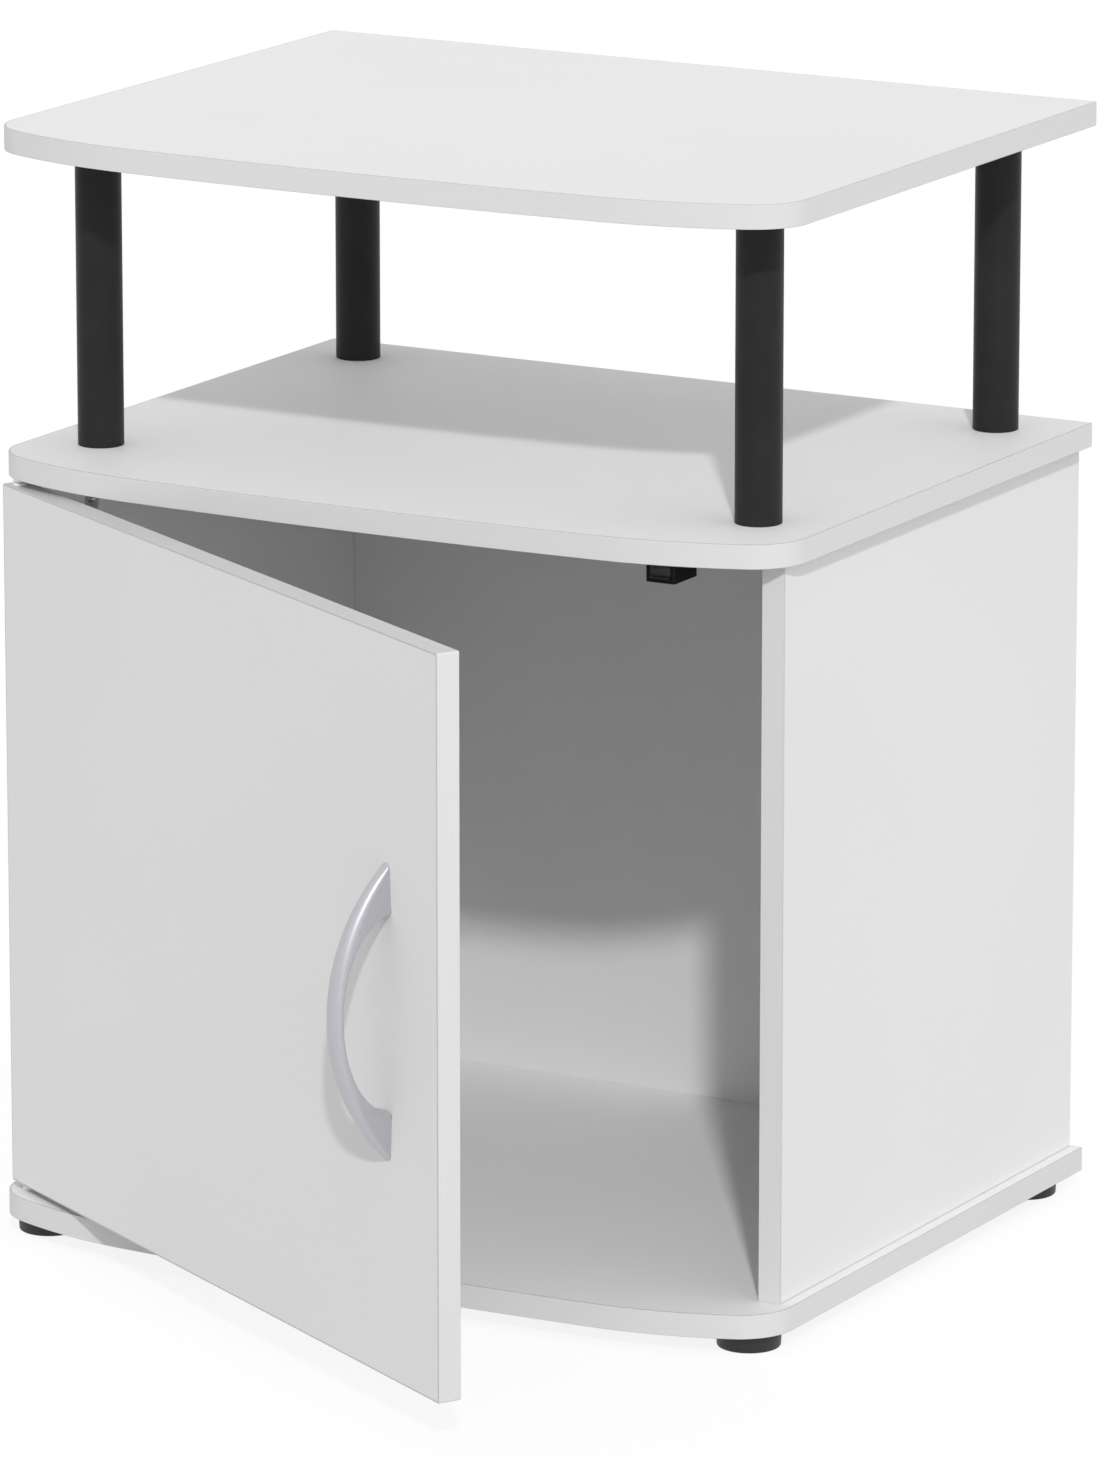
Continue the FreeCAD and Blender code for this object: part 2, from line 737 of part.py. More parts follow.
def catch_housing():
    """Moulded housing with a pocket for the magnet stack and two bored screw holes."""
    half = catch_width / 2
    body = box((catch_x - half, catch_x + half), (catch_front_y, catch_front_y + catch_depth),
               (catch_z, middle_z))
    uprights = [edge for edge in body.Edges if abs(edge.tangentAt(edge.FirstParameter).z) > 0.9]
    body = body.makeFillet(catch_corner_radius, uprights)
    pocket_half = magnet_width / 2 + catch_pocket_play
    pocket = box((catch_x - pocket_half, catch_x + pocket_half),
                 (catch_front_y, pole_front_y + magnet_depth + pole_projection + catch_pocket_play),
                 (catch_z + catch_floor, magnet_z + magnet_height + pole_thickness + catch_pocket_play))
    cuts = [pocket]
    for x in catch_screw_xs():
        place = Vector(x, catch_screw_y, catch_z)
        cuts.append(rod(catch_screw_head_diameter + hole_play, catch_bore_depth, place))
        cuts.append(rod(catch_screw_diameter + hole_play, catch_height, place))
    return body.cut(cuts)


def catch_magnet():
    """Magnet block between the two pole plates."""
    half = magnet_width / 2
    front = pole_front_y + pole_projection
    return box((catch_x - half, catch_x + half), (front, front + magnet_depth),
               (magnet_z, magnet_z + magnet_height))


def catch_poles():
    """Steel pole plates below and above the magnet, standing out of the housing."""
    half = magnet_width / 2
    plates = []
    for low in (magnet_z - pole_thickness, magnet_z + magnet_height):
        plates.append(box((catch_x - half, catch_x + half),
                          (pole_front_y, pole_front_y + magnet_depth + pole_projection),
                          (low, low + pole_thickness)))
    return plates


def catch_screws():
    """Screws that hold the catch up under the middle board."""
    length = catch_height - catch_bore_depth + blind_depth - hole_end_play
    return [pan_screw(catch_screw_diameter, length, catch_screw_head_diameter, catch_screw_head_height,
                      Vector(x, catch_screw_y, catch_z + catch_bore_depth), UP) for x in catch_screw_xs()]


# ---------------------------------------------------------------- assembly

def cabinet_nodes():
    """Every piece that stands still, by node name."""
    nodes = {
        "top_board": top_board(),
        "top_board_edge_band": board_band(upper_depth, top_z),
        "middle_board": middle_board(),
        "middle_board_edge_band": board_band(upper_depth, middle_z),
        "bottom_board": bottom_board(),
        "bottom_board_edge_band": board_band(bottom_depth, bottom_z),
        "left_side_panel": side_panel(-1),
        "right_side_panel": side_panel(1),
        "side_panel_edge_bands": side_panel_bands(),
        "back_panel": back_panel(),
        "cam_locks": cam_locks(),
        "cam_bolts": cam_bolts(),
        "dowels": dowels(),
        "tube_lower_plugs": [end_plug(Vector(x, y, shelf_z), UP) for _, x, y in tube_places],
        "tube_upper_plugs": [end_plug(Vector(x, y, top_z), DOWN) for _, x, y in tube_places],
        "tie_bolts": [tie_bolt(x, y) for _, x, y in tube_places],
        "tie_washers": [tie_washer(x, y) for _, x, y in tube_places],
        "insert_nuts": [insert_nut(x, y) for _, x, y in tube_places],
        "foot_screws": [foot_screw(x, y) for _, x, y in foot_places],
        "lower_pivot_pin": pivot_pin(cabinet_z, UP),
        "upper_pivot_pin": pivot_pin(middle_z, DOWN),
        "catch_housing": catch_housing(),
        "catch_magnet": catch_magnet(),
        "catch_pole_plates": catch_poles(),
        "catch_screws": catch_screws(),
    }
    for name, x, y in tube_places:
        nodes[name + "_tube"] = tube(x, y)
    for name, x, y in foot_places:
        nodes[name + "_foot"] = foot(x, y)
    return nodes


def door_nodes():
    """Every piece that swings with the door, by node name, swung open about the pivot."""
    nodes = {
        "door_panel": door_panel(),
        "door_edge_band": door_band(),
        "lower_pivot_bush": pivot_bush(door_z, UP),
        "upper_pivot_bush": pivot_bush(door_top_z, DOWN),
        "door_handle": door_handle(),
        "handle_screws": handle_screws(),
        "strike_plate": strike_plate(),
        "strike_screw": strike_screw(),
    }
    return {name: swung_open(shape) for name, shape in nodes.items()}


def as_list(shape):
    """The shapes of a node, whether it holds one or several."""
    return shape if isinstance(shape, list) else [shape]


def swung_open(shape):
    """A node's shapes turned with the door to its rest angle."""
    pivot = Vector(pivot_x, pivot_y, 0)
    return [item.rotated(pivot, UP, -door_open_angle) for item in as_list(shape)]


def footprint_middle_y(nodes):
    """Y of the middle of the box round every node."""
    whole = Part.makeCompound([item for shape in nodes.values() for item in as_list(shape)])
    box_round = whole.optimalBoundingBox(False)
    return (box_round.YMin + box_round.YMax) / 2


def export_nodes(nodes):
    """Write each node to its own STEP file, groups of solids as one compound."""
    os.makedirs("parts", exist_ok=True)
    to_origin = Vector(0, -footprint_middle_y(nodes), 0)
    for name, shape in sorted(nodes.items()):
        solids = [item.translated(to_origin) for item in as_list(shape)]
        whole = Part.makeCompound(solids) if len(solids) > 1 else solids[0]
        whole.exportStep("parts/" + name + ".step")


all_nodes = cabinet_nodes() | door_nodes()
export_nodes(all_nodes)
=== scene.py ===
import json
import logging
import math
from abc import ABC, abstractmethod
from collections.abc import Iterable, Iterator, Sequence
from contextlib import contextmanager
from dataclasses import dataclass, field
from enum import Enum
from typing import ClassVar, NamedTuple

import bmesh
import bpy
from mathutils import Matrix, Vector


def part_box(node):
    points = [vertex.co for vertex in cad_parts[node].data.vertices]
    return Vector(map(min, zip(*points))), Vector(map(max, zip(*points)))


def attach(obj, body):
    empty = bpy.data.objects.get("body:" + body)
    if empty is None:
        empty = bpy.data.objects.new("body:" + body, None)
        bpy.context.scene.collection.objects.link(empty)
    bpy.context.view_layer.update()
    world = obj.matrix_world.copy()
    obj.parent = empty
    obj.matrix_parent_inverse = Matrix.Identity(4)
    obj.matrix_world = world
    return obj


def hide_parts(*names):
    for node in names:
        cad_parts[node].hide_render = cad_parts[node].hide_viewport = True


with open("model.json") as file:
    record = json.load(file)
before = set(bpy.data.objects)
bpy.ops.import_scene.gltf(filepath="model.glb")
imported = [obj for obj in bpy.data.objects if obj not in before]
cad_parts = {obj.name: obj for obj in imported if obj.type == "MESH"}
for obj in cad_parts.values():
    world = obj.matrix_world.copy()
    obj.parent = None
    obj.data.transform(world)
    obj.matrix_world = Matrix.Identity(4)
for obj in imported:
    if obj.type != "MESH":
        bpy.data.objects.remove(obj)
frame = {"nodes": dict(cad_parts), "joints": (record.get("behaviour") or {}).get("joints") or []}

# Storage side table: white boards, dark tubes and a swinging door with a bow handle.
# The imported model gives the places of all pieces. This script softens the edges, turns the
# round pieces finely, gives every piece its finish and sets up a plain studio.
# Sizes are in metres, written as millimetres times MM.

LOG = logging.getLogger("side_table")
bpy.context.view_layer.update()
MM = 0.001

UP = Vector((0, 0, 1))
DOWN = Vector((0, 0, -1))
CORNERS = ("front_left", "front_right", "back_left", "back_right")
TUBES = [corner + "_tube" for corner in CORNERS]
FEET = [corner + "_foot" for corner in CORNERS]
TIGHT_STEPS = 6

Colour = tuple[float, float, float]
Outline = list[tuple[float, float]]
Paths = Sequence[Sequence[Vector]]
Places = list[tuple[Vector, Vector]]
Material = bpy.types.Material
Mesh = bpy.types.Mesh
Socket = bpy.types.NodeSocket


class Body(Enum):
    """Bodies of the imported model."""

    CABINET = "cabinet"
    DOOR = "door"


class Slot(Enum):
    """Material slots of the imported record."""

    WHITE_BOARD = "white_board"
    HARDBOARD = "hardboard"
    WHITE_BAND = "white_band"
    CHARCOAL_TUBE = "charcoal_tube"
    BLACK_NYLON = "black_nylon"
    BLACK_FOOT = "black_foot"
    CATCH_BLACK = "catch_black"
    WHITE_NYLON = "white_nylon"
    PLATED_STEEL = "plated_steel"
    BLACKENED_STEEL = "blackened_steel"
    INSERT_BRASS = "insert_brass"
    SATIN_HANDLE = "satin_handle"
    MAGNET_DARK = "magnet_dark"
    CAM_ZINC = "cam_zinc"
    BEECH_DOWEL = "beech_dowel"


# ---------------------------------------------------------------- node builders

class NodeBench:
    """Adds nodes to a tree and joins their sockets."""

    def __init__(self, tree: bpy.types.NodeTree) -> None:
        """Keep the tree that the nodes go into."""
        self.tree = tree

    def add(self, kind: str, inputs: dict | None = None, **settings: object) -> bpy.types.Node:
        """Add one node.

        Args:
            kind: The node's type identifier.
            inputs: Values or sockets for the node's inputs, by name or index.
            **settings: The node's own properties.

        Returns:
            The new node.
        """
        node = self.tree.nodes.new(kind)
        for name, value in settings.items():
            setattr(node, name, value)
        for name, value in (inputs or {}).items():
            if isinstance(value, Socket):
                self.tree.links.new(value, node.inputs[name])
            else:
                node.inputs[name].default_value = value
        return node

    def result(self, kind: str, inputs: dict | None = None, **settings: object) -> Socket:
        """First output of a new node, which is added as add does."""
        return self.add(kind, inputs, **settings).outputs[0]

    def math(self, operation: str, first: object, second: object = 0.0) -> Socket:
        """Result of a Math node with one or two inputs."""
        return self.result("ShaderNodeMath", {0: first, 1: second}, operation=operation)

    def sum(self, first: object, second: object) -> Socket:
        """Two values added."""
        return self.math("ADD", first, second)

    def product(self, first: object, second: object) -> Socket:
        """Two values multiplied."""
        return self.math("MULTIPLY", first, second)


class ShaderBench(NodeBench):
    """A material under construction: one Principled shader and what feeds it."""

    def __init__(self, name: str) -> None:
        """Start a material.

        Args:
            name: Name of the material.
        """
        self.material = bpy.data.materials.new(name)
        self.material.use_nodes = True
        super().__init__(self.material.node_tree)
        self.tree.nodes.clear()
        self.shader = self.add("ShaderNodeBsdfPrincipled")
        self.add("ShaderNodeOutputMaterial", {"Surface": self.shader.outputs["BSDF"]})
        coordinates = self.add("ShaderNodeTexCoord")
        self.place = coordinates.outputs["Object"]
        self.normal = coordinates.outputs["Normal"]

    def stretched(self, scale: tuple[float, float, float]) -> Socket:
        """Object coordinates scaled by a different factor along each axis."""
        return self.result("ShaderNodeMapping", {"Vector": self.place, "Scale": scale})

    def noise(self, scale: float, detail: float = 2.0, roughness: float = 0.5,
              vector: Socket | None = None) -> Socket:
        """Noise from 0 to 1; scale is in features per metre."""
        return self.result("ShaderNodeTexNoise", {"Vector": vector or self.place, "Scale": scale,
                                                  "Detail": detail, "Roughness": roughness})

    def cells(self, scale: float, vector: Socket | None = None, feature: str = "F1") -> bpy.types.Node:
        """Voronoi cells; scale is in cells per metre."""
        return self.add("ShaderNodeTexVoronoi", {"Vector": vector or self.place, "Scale": scale},
                        feature=feature)

    def cell_shade(self, cells: bpy.types.Node) -> Socket:
        """A random value for each cell, from 0 to 1."""
        return self.result("ShaderNodeSeparateColor", {0: cells.outputs["Color"]})

    def spread(self, value: Socket, low: float, high: float,
               source: tuple[float, float] = (0.3, 0.7)) -> Socket:
        """Map a pattern's source range onto low to high."""
        return self.result("ShaderNodeMapRange",
                           {0: value, 1: source[0], 2: source[1], 3: low, 4: high})

    def uneven(self, middle: float, slow: Socket, swing: tuple[float, float], fine: Socket,
               ripple: float, source: tuple[float, float] = (0.3, 0.7)) -> Socket:
        """Value that wanders round a middle.

        Args:
            middle: The value in the middle.
            slow: Pattern of the slow change.
            swing: How far the slow change takes the value down and up.
            fine: Pattern of the fine ripple on top.
            ripple: How far the ripple takes the value either way.
            source: Range of the fine pattern that the ripple uses.

        Returns:
            The value's socket.
        """
        return self.sum(self.spread(slow, middle - swing[0], middle + swing[1]),
                        self.spread(fine, -ripple, ripple, source))

    def blend(self, share: object, first: object, second: object) -> Socket:
        """Colour mixed from two colours by a share."""
        first, second = (each if isinstance(each, Socket) else (*each, 1.0) for each in (first, second))
        return self.add("ShaderNodeMix", {0: share, 6: first, 7: second}, data_type="RGBA").outputs[2]

    def relief(self, height: Socket, depth: float) -> Socket:
        """Bumped normal; depth is the relief's real height."""
        return self.result("ShaderNodeBump", {"Height": height, "Distance": depth, "Strength": 1.0})

    def dress(self, **sockets: object) -> Material:
        """Set the shader's sockets.

        Args:
            **sockets: Values or sockets, with the socket's name in lower case and underscores.

        Returns:
            The finished material.
        """
        for name, value in sockets.items():
            socket = self.shader.inputs[name.replace("_", " ").title().replace("Ior", "IOR")]
            if isinstance(value, Socket):
                self.tree.links.new(value, socket)
            else:
                socket.default_value = value
        return self.material


class ShapeBench(NodeBench):
    """A geometry node tree under construction, with named inputs."""

    def __init__(self, name: str) -> None:
        """Start a tree.

        Args:
            name: Name of the tree.
        """
        super().__init__(bpy.data.node_groups.new(name, "GeometryNodeTree"))
        self.identifiers: dict[str, str] = {}
        self.source = self.add("NodeGroupInput")
        self.geometry = self.input("Geometry", "Geometry")

    def input(self, name: str, kind: str) -> Socket:
        """Add a named input to the tree.

        Args:
            name: The input's name.
            kind: Type of the socket, such as Float or Object.

        Returns:
            The socket that carries the input inside the tree.
        """
        made = self.tree.interface.new_socket(name, in_out="INPUT", socket_type="NodeSocket" + kind)
        self.identifiers[name] = made.identifier
        return self.source.outputs[name]

    def capture(self, geometry: Socket, values: dict[str, Socket]) -> list[Socket]:
        """Keep values on the points of a geometry.

        Args:
            geometry: The geometry whose points keep the values.
            values: The values to keep, by name.

        Returns:
            The geometry's socket, and then one socket for each value.
        """
        node = self.add("GeometryNodeCaptureAttribute", {"Geometry": geometry}, domain="POINT")
        for name, value in values.items():
            node.capture_items.new("FLOAT", name)
            self.tree.links.new(value, node.inputs[len(node.capture_items)])
        return list(node.outputs)[:len(values) + 1]

    def store(self, geometry: Socket, name: str, value: Socket, kind: str, domain: str) -> Socket:
        """Geometry with a named attribute of a kind on its points or edges."""
        return self.result("GeometryNodeStoreNamedAttribute",
                           {"Geometry": geometry, "Name": name, "Value": value},
                           data_type=kind, domain=domain)

    def close(self, geometry: Socket) -> None:
        """End the tree with realized geometry in one finish.

        Args:
            geometry: The geometry to hand out.
        """
        finish = self.input("Finish", "Material")
        self.tree.interface.new_socket("Geometry", in_out="OUTPUT", socket_type="NodeSocketGeometry")
        realized = self.result("GeometryNodeRealizeInstances", {"Geometry": geometry})
        dressed = self.result("GeometryNodeSetMaterial", {"Geometry": realized, "Material": finish})
        self.add("NodeGroupOutput", {0: dressed})

    def run(self, host: bpy.types.Object, values: dict[str, object],
            after: "EdgeRounding | None" = None) -> Mesh:
        """Run the tree on a host object and keep the result as a plain mesh.

        Args:
            host: Object whose mesh the tree starts from; it is removed afterwards.
            values: Values of the named inputs.
            after: Rounding of the edges, put on after the tree.

        Returns:
            The finished mesh.
        """
        modifier = host.modifiers.new(self.tree.name, "NODES")
        modifier.node_group = self.tree
        for name, value in values.items():
            modifier[self.identifiers[name]] = value
        if after:
            after.put_on(host)
        return plain_mesh(host)


@dataclass(frozen=True)
class EdgeRounding:
    """Rounding of sharp edges, with clean shading on the flats beside them; profile 0 cuts a step."""

    radius: float
    segments: int = 3
    by_weight: bool = False
    profile: float = 0.5

    def put_on(self, piece: bpy.types.Object) -> None:
        """Add the rounding to a piece as a modifier.

        Args:
            piece: The object to round.
        """
        bevel = piece.modifiers.new("edge rounding", "BEVEL")
        bevel.width = self.radius
        bevel.segments = self.segments
        bevel.profile = self.profile
        bevel.limit_method = "WEIGHT" if self.by_weight else "ANGLE"
        bevel.angle_limit = math.radians(40)
        bevel.harden_normals = self.profile > 0


# ---------------------------------------------------------------- mesh helpers

def linked(name: str, data: bpy.types.ID) -> bpy.types.Object:
    """Object that carries a mesh, lamp or camera, linked into the scene.

    Args:
        name: Name of the object.
        data: What it carries.

    Returns:
        The object.
    """
    made = bpy.data.objects.new(name, data)
    bpy.context.scene.collection.objects.link(made)
    return made


def plain_mesh(host: bpy.types.Object) -> Mesh:
    """Evaluated mesh of an object with its modifiers applied; the object is removed.

    Args:
        host: Object to evaluate.

    Returns:
        A mesh that stands alone.
    """
    graph = bpy.context.evaluated_depsgraph_get()
    mesh = bpy.data.meshes.new_from_object(host.evaluated_get(graph), preserve_all_data_layers=True,
                                           depsgraph=graph)
    bpy.data.objects.remove(host)
    return mesh


@contextmanager
def edited(mesh: Mesh, source: Mesh | None = None) -> Iterator[bmesh.types.BMesh]:
    """Open a mesh for editing; its faces are turned outwards before it closes.

    Args:
        mesh: The mesh to change.
        source: Mesh to start from, where that is another one.

    Yields:
        The open mesh.
    """
    shape = bmesh.new()
    shape.from_mesh(source or mesh)
    yield shape
    bmesh.ops.recalc_face_normals(shape, faces=shape.faces)
    shape.to_mesh(mesh)
    shape.free()


def line_mesh(name: str, lines: Paths, closed: bool) -> Mesh:
    """Mesh of edges that join the points of each line in order.

    Args:
        name: Name of the mesh.
        lines: The points of each line.
        closed: Whether the last point of a line joins its first.

    Returns:
        The mesh.
    """
    points, edges = [], []
    for line in lines:
        first, count = len(points), len(line)
        points += [tuple(point) for point in line]
        edges += [(first + index, first + (index + 1) % count)
                  for index in range(count if closed else count - 1)]
    mesh = bpy.data.meshes.new(name)
    mesh.from_pydata(points, edges, [])
    return mesh


def direction(azimuth: float, elevation: float) -> Vector:
    """Unit vector towards a place around the table; azimuth 0 is the front and 90 the right."""
    turn, rise = math.radians(azimuth), math.radians(elevation)
    return Vector((math.sin(turn) * math.cos(rise), -math.cos(turn) * math.cos(rise), math.sin(rise)))


def spoke(turn: float) -> Vector:
    """Unit vector in plan; a turn of 0 looks along -Y and grows towards +X."""
    return Vector((math.sin(turn), -math.cos(turn), 0))


def arc(centre: Vector, radius: float, turn_from: float, turn_to: float, steps: int) -> list[Vector]:
    """Points of a plan arc between two turns."""
    turns = [turn_from + (turn_to - turn_from) * step / steps for step in range(steps + 1)]
    return [centre + spoke(turn) * radius for turn in turns]


def rounded(outline: Outline, radii: Sequence[float], closed: bool, steps: int = 4) -> Outline:
    """Outline with rounded corners, and a guard point where a long run meets an arc.

    Args:
        outline: Corner points.
        radii: Radius at each corner, zero for a sharp one.
        closed: Whether the outline is a loop.
        steps: Segments of each arc.

    Returns:
        The points of the rounded outline.
    """
    most_of_run, long_run, guard_share = 0.45, 4, 0.25
    corners = [Vector(point) for point in outline]
    count = len(corners)
    result: list[Vector] = []
    for index, corner in enumerate(corners):
        radius = radii[index]
        at_end = not closed and index in (0, count - 1)
        if radius <= 0 or at_end:
            result.append(corner)
            continue
        back, ahead = corners[index - 1] - corner, corners[(index + 1) % count] - corner
        bend = (math.pi - back.angle(ahead)) / 2
        reach = min(radius * math.tan(bend), back.length * most_of_run, ahead.length * most_of_run)
        radius = reach / math.tan(bend)
        start, end = corner + back.normalized() * reach, corner + ahead.normalized() * reach
        inwards = (back.normalized() + ahead.normalized()).normalized()
        middle = corner + inwards * (radius / math.cos(bend))
        guard = radius * guard_share
        if back.length > long_run * reach:
            result.append(start + back.normalized() * guard)
        for step in range(steps + 1):
            arm = (start - middle).lerp(end - middle, step / steps)
            result.append(middle + arm.normalized() * radius)
        if ahead.length > long_run * reach:
            result.append(end + ahead.normalized() * guard)
    return [tuple(point) for point in result]


def smooth_mesh(mesh: Mesh, crease: float = 35) -> Mesh:
    """Shade a mesh smooth and keep edges sharper than the crease angle sharp.

    Args:
        mesh: The mesh to shade.
        crease: The angle in degrees.

    Returns:
        The same mesh.
    """
    mesh.polygons.foreach_set("use_smooth", [True] * len(mesh.polygons))
    mesh.set_sharp_from_angle(angle=math.radians(crease))
    return mesh


def softened_copy(node: str, rounding: EdgeRounding) -> Mesh:
    """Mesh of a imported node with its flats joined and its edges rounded.

    Args:
        node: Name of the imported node.
        rounding: The rounding to give its edges; by weight, it shapes only the rims of its lower and
            upper end.

    Returns:
        The finished mesh.
    """
    mesh = bpy.data.meshes.new(node + "_soft")
    with edited(mesh, frame["nodes"][node].data) as shape:
        bmesh.ops.remove_doubles(shape, verts=shape.verts, dist=0.001 * MM)
        bmesh.ops.dissolve_limit(shape, angle_limit=math.radians(0.5), verts=shape.verts,
                                 edges=shape.edges)
        if rounding.by_weight:
            weights = shape.edges.layers.float.new("bevel_weight_edge")
            low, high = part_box(node)
            for edge in shape.edges:
                edge[weights] = float(at_rim(edge, low, high))
    if mesh.has_custom_normals:
        mesh.attributes.remove(mesh.attributes["custom_normal"])
    host = linked(node + "_host", mesh)
    rounding.put_on(host)
    mesh = plain_mesh(host)
    if rounding.profile > 0:
        return smooth_mesh(mesh)
    mesh.shade_flat()
    return mesh


def at_rim(edge: bmesh.types.BMEdge, low: Vector, high: Vector, near: float = 0.01 * MM) -> bool:
    """Whether an edge runs along the rim of a box's lower or upper side.

    Args:
        edge: The edge.
        low: Lowest corner of the box.
        high: Highest corner of the box.
        near: Distance that counts as on a side.

    Returns:
        True where both ends lie on the same level side and on the same upright side.
    """
    def shared(axis: int) -> bool:
        """Whether both ends lie on one of the box's two sides across an axis."""
        return any(all(abs(vertex.co[axis] - side[axis]) < near for vertex in edge.verts)
                   for side in (low, high))
    return shared(2) and (shared(0) or shared(1))


def mm(*sizes: float) -> list[float]:
    """Sizes in metres from sizes in millimetres."""
    return [size * MM for size in sizes]


def middle_of(node: str) -> Vector:
    """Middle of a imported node's box."""
    low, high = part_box(node)
    return (low + high) / 2


def spots(nodes: Iterable[str], z: float, way: Vector) -> Places:
    """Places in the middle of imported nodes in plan, at one height and facing one way."""
    return [(Vector((*middle_of(node).xy, z)), way) for node in nodes]


# ---------------------------------------------------------------- finishes

@dataclass(frozen=True)
class Finish(ABC):
    """A finish that can be made into a material: the record's slot that it is for, and its name."""

    slot: Slot
    name: str

    @abstractmethod
    def make(self) -> Material:
        """Build the material.

        Returns:
            The material.
        """


class Look(NamedTuple):
    """A made finish: the material and the record's slot that it is for."""

    material: Material
    slot: Slot


@dataclass(frozen=True)
class MelamineBoard(Finish):
    """Satin melamine on the broad faces of a chipboard, whose bare edges show the chips."""

    facing: Vector
    white: Colour = (0.815, 0.815, 0.812)
    shade: Colour = (0.795, 0.796, 0.797)
    roughness: float = 0.6
    gloss: float = 0.2
    drift_scale: float = 4
    wiped_scale: float = 22
    pearl_scale: float = 1300
    chip_scale: float = 420
    chip_dark: Colour = (0.50, 0.36, 0.22)
    chip_light: Colour = (0.76, 0.63, 0.44)
    chip_gap: Colour = (0.30, 0.20, 0.12)
    core_roughness: float = 0.85
    relief: float = 0.12 * MM

    def make(self) -> Material:
        """Build the material.

        Returns:
            The material.
        """
        bench = ShaderBench(self.name)
        drift = bench.spread(bench.noise(self.drift_scale), 0, 1)
        face = bench.blend(drift, self.white, self.shade)
        pearl = bench.noise(self.pearl_scale, 2.5, 0.6)
        wiped = bench.noise(self.wiped_scale, 3, 0.55, bench.stretched((1, 1, 0.35)))
        satin = bench.uneven(self.roughness, wiped, (0.035, 0.035), pearl, 0.02)
        chips = bench.cells(self.chip_scale, bench.stretched((1.0, 1.0, 0.45)))
        gap = chips.outputs["Distance"]
        core = bench.blend(bench.spread(bench.cell_shade(chips), 0, 1, (0, 1)), self.chip_dark,
                           self.chip_light)
        core = bench.blend(bench.spread(gap, 0, 0.65, (0.35, 0.8)), core, self.chip_gap)
        along = bench.add("ShaderNodeVectorMath", {0: bench.normal, 1: self.facing},
                          operation="DOT_PRODUCT").outputs["Value"]
        broad = bench.math("GREATER_THAN", bench.math("ABSOLUTE", along), 0.9)
        rough = bench.sum(bench.product(broad, bench.math("SUBTRACT", satin, self.core_roughness)),
                          self.core_roughness)
        height = bench.sum(bench.product(broad, bench.product(pearl, 0.12)),
                           bench.product(bench.math("SUBTRACT", 1.0, broad), gap))
        return bench.dress(base_color=bench.blend(broad, core, face), roughness=rough,
                           specular_ior_level=self.gloss, normal=bench.relief(height, self.relief))


@dataclass(frozen=True)
class EdgeBanding(Finish):
    """Plastic edge banding with faint lines along it, greyer on its trimmed sides, with painted shade
    on its level runs.
    """

    white: Colour = (0.722, 0.722, 0.72)
    line: Colour = (0.70, 0.701, 0.703)
    trimmed: Colour = (0.56, 0.56, 0.56)
    # Painted shade: the grey that banding runs facing straight up or down take in place of the white.
    level: Colour = (0.60, 0.60, 0.60)
    face_half_width: float = 6.3 * MM
    line_scale: tuple[float, float, float] = (14, 1900, 1)
    pore_scale: float = 1700
    roughness: float = 0.46
    gloss: float = 0.35
    relief: float = 0.012 * MM

    def make(self) -> Material:
        """Build the material.

        Returns:
            The material.
        """
        bench = ShaderBench(self.name)
        run = bench.add("ShaderNodeAttribute", attribute_name="run").outputs["Vector"]
        lines = bench.noise(1, 2, 0.5, bench.result("ShaderNodeMapping",
                                                    {"Vector": run, "Scale": self.line_scale}))
        pores = bench.noise(self.pore_scale)
        colour = bench.blend(bench.spread(lines, 0, 1), self.white, self.line)
        across = bench.math("ABSOLUTE", bench.add("ShaderNodeSeparateXYZ", {0: run}).outputs["Y"])
        trimmed = bench.spread(across, 0, 1, (self.face_half_width - 0.1 * MM, self.face_half_width))
        # Painted shade: faces that look up or down take the level grey, standing in for the shade on
        # them.
        rise = bench.add("ShaderNodeSeparateXYZ", {0: bench.normal}).outputs["Z"]
        level = bench.math("GREATER_THAN", bench.math("ABSOLUTE", rise), 0.95)
        colour = bench.blend(trimmed, bench.blend(level, colour, self.level), self.trimmed)
        rough = bench.spread(lines, self.roughness - 0.04, self.roughness + 0.05)
        height = bench.sum(bench.product(lines, 0.5), bench.product(pores, 0.4))
        return bench.dress(base_color=colour, roughness=rough, specular_ior_level=self.gloss,
                           normal=bench.relief(height, self.relief))


@dataclass(frozen=True)
class ThinBackBoard(Finish):
    """Thin fibreboard, lacquered white, with the fine weave of the press on it."""

    white: Colour = (0.79, 0.79, 0.785)
    shade: Colour = (0.755, 0.755, 0.75)
    drift_scale: float = 7
    fibre_scale: float = 900
    relief: float = 0.02 * MM

    def make(self) -> Material:
        """Build the material.

        Returns:
            The material.
        """
        bench = ShaderBench(self.name)
        drift = bench.noise(self.drift_scale, 3)
        fibres = bench.noise(self.fibre_scale, 3, 0.6, bench.stretched((1, 1, 0.4)))
        tone = bench.sum(bench.product(drift, 0.7), bench.product(fibres, 0.3))
        return bench.dress(base_color=bench.blend(bench.spread(tone, 0, 1), self.white, self.shade),
                           roughness=bench.spread(fibres, 0.48, 0.6),
                           normal=bench.relief(fibres, self.relief))


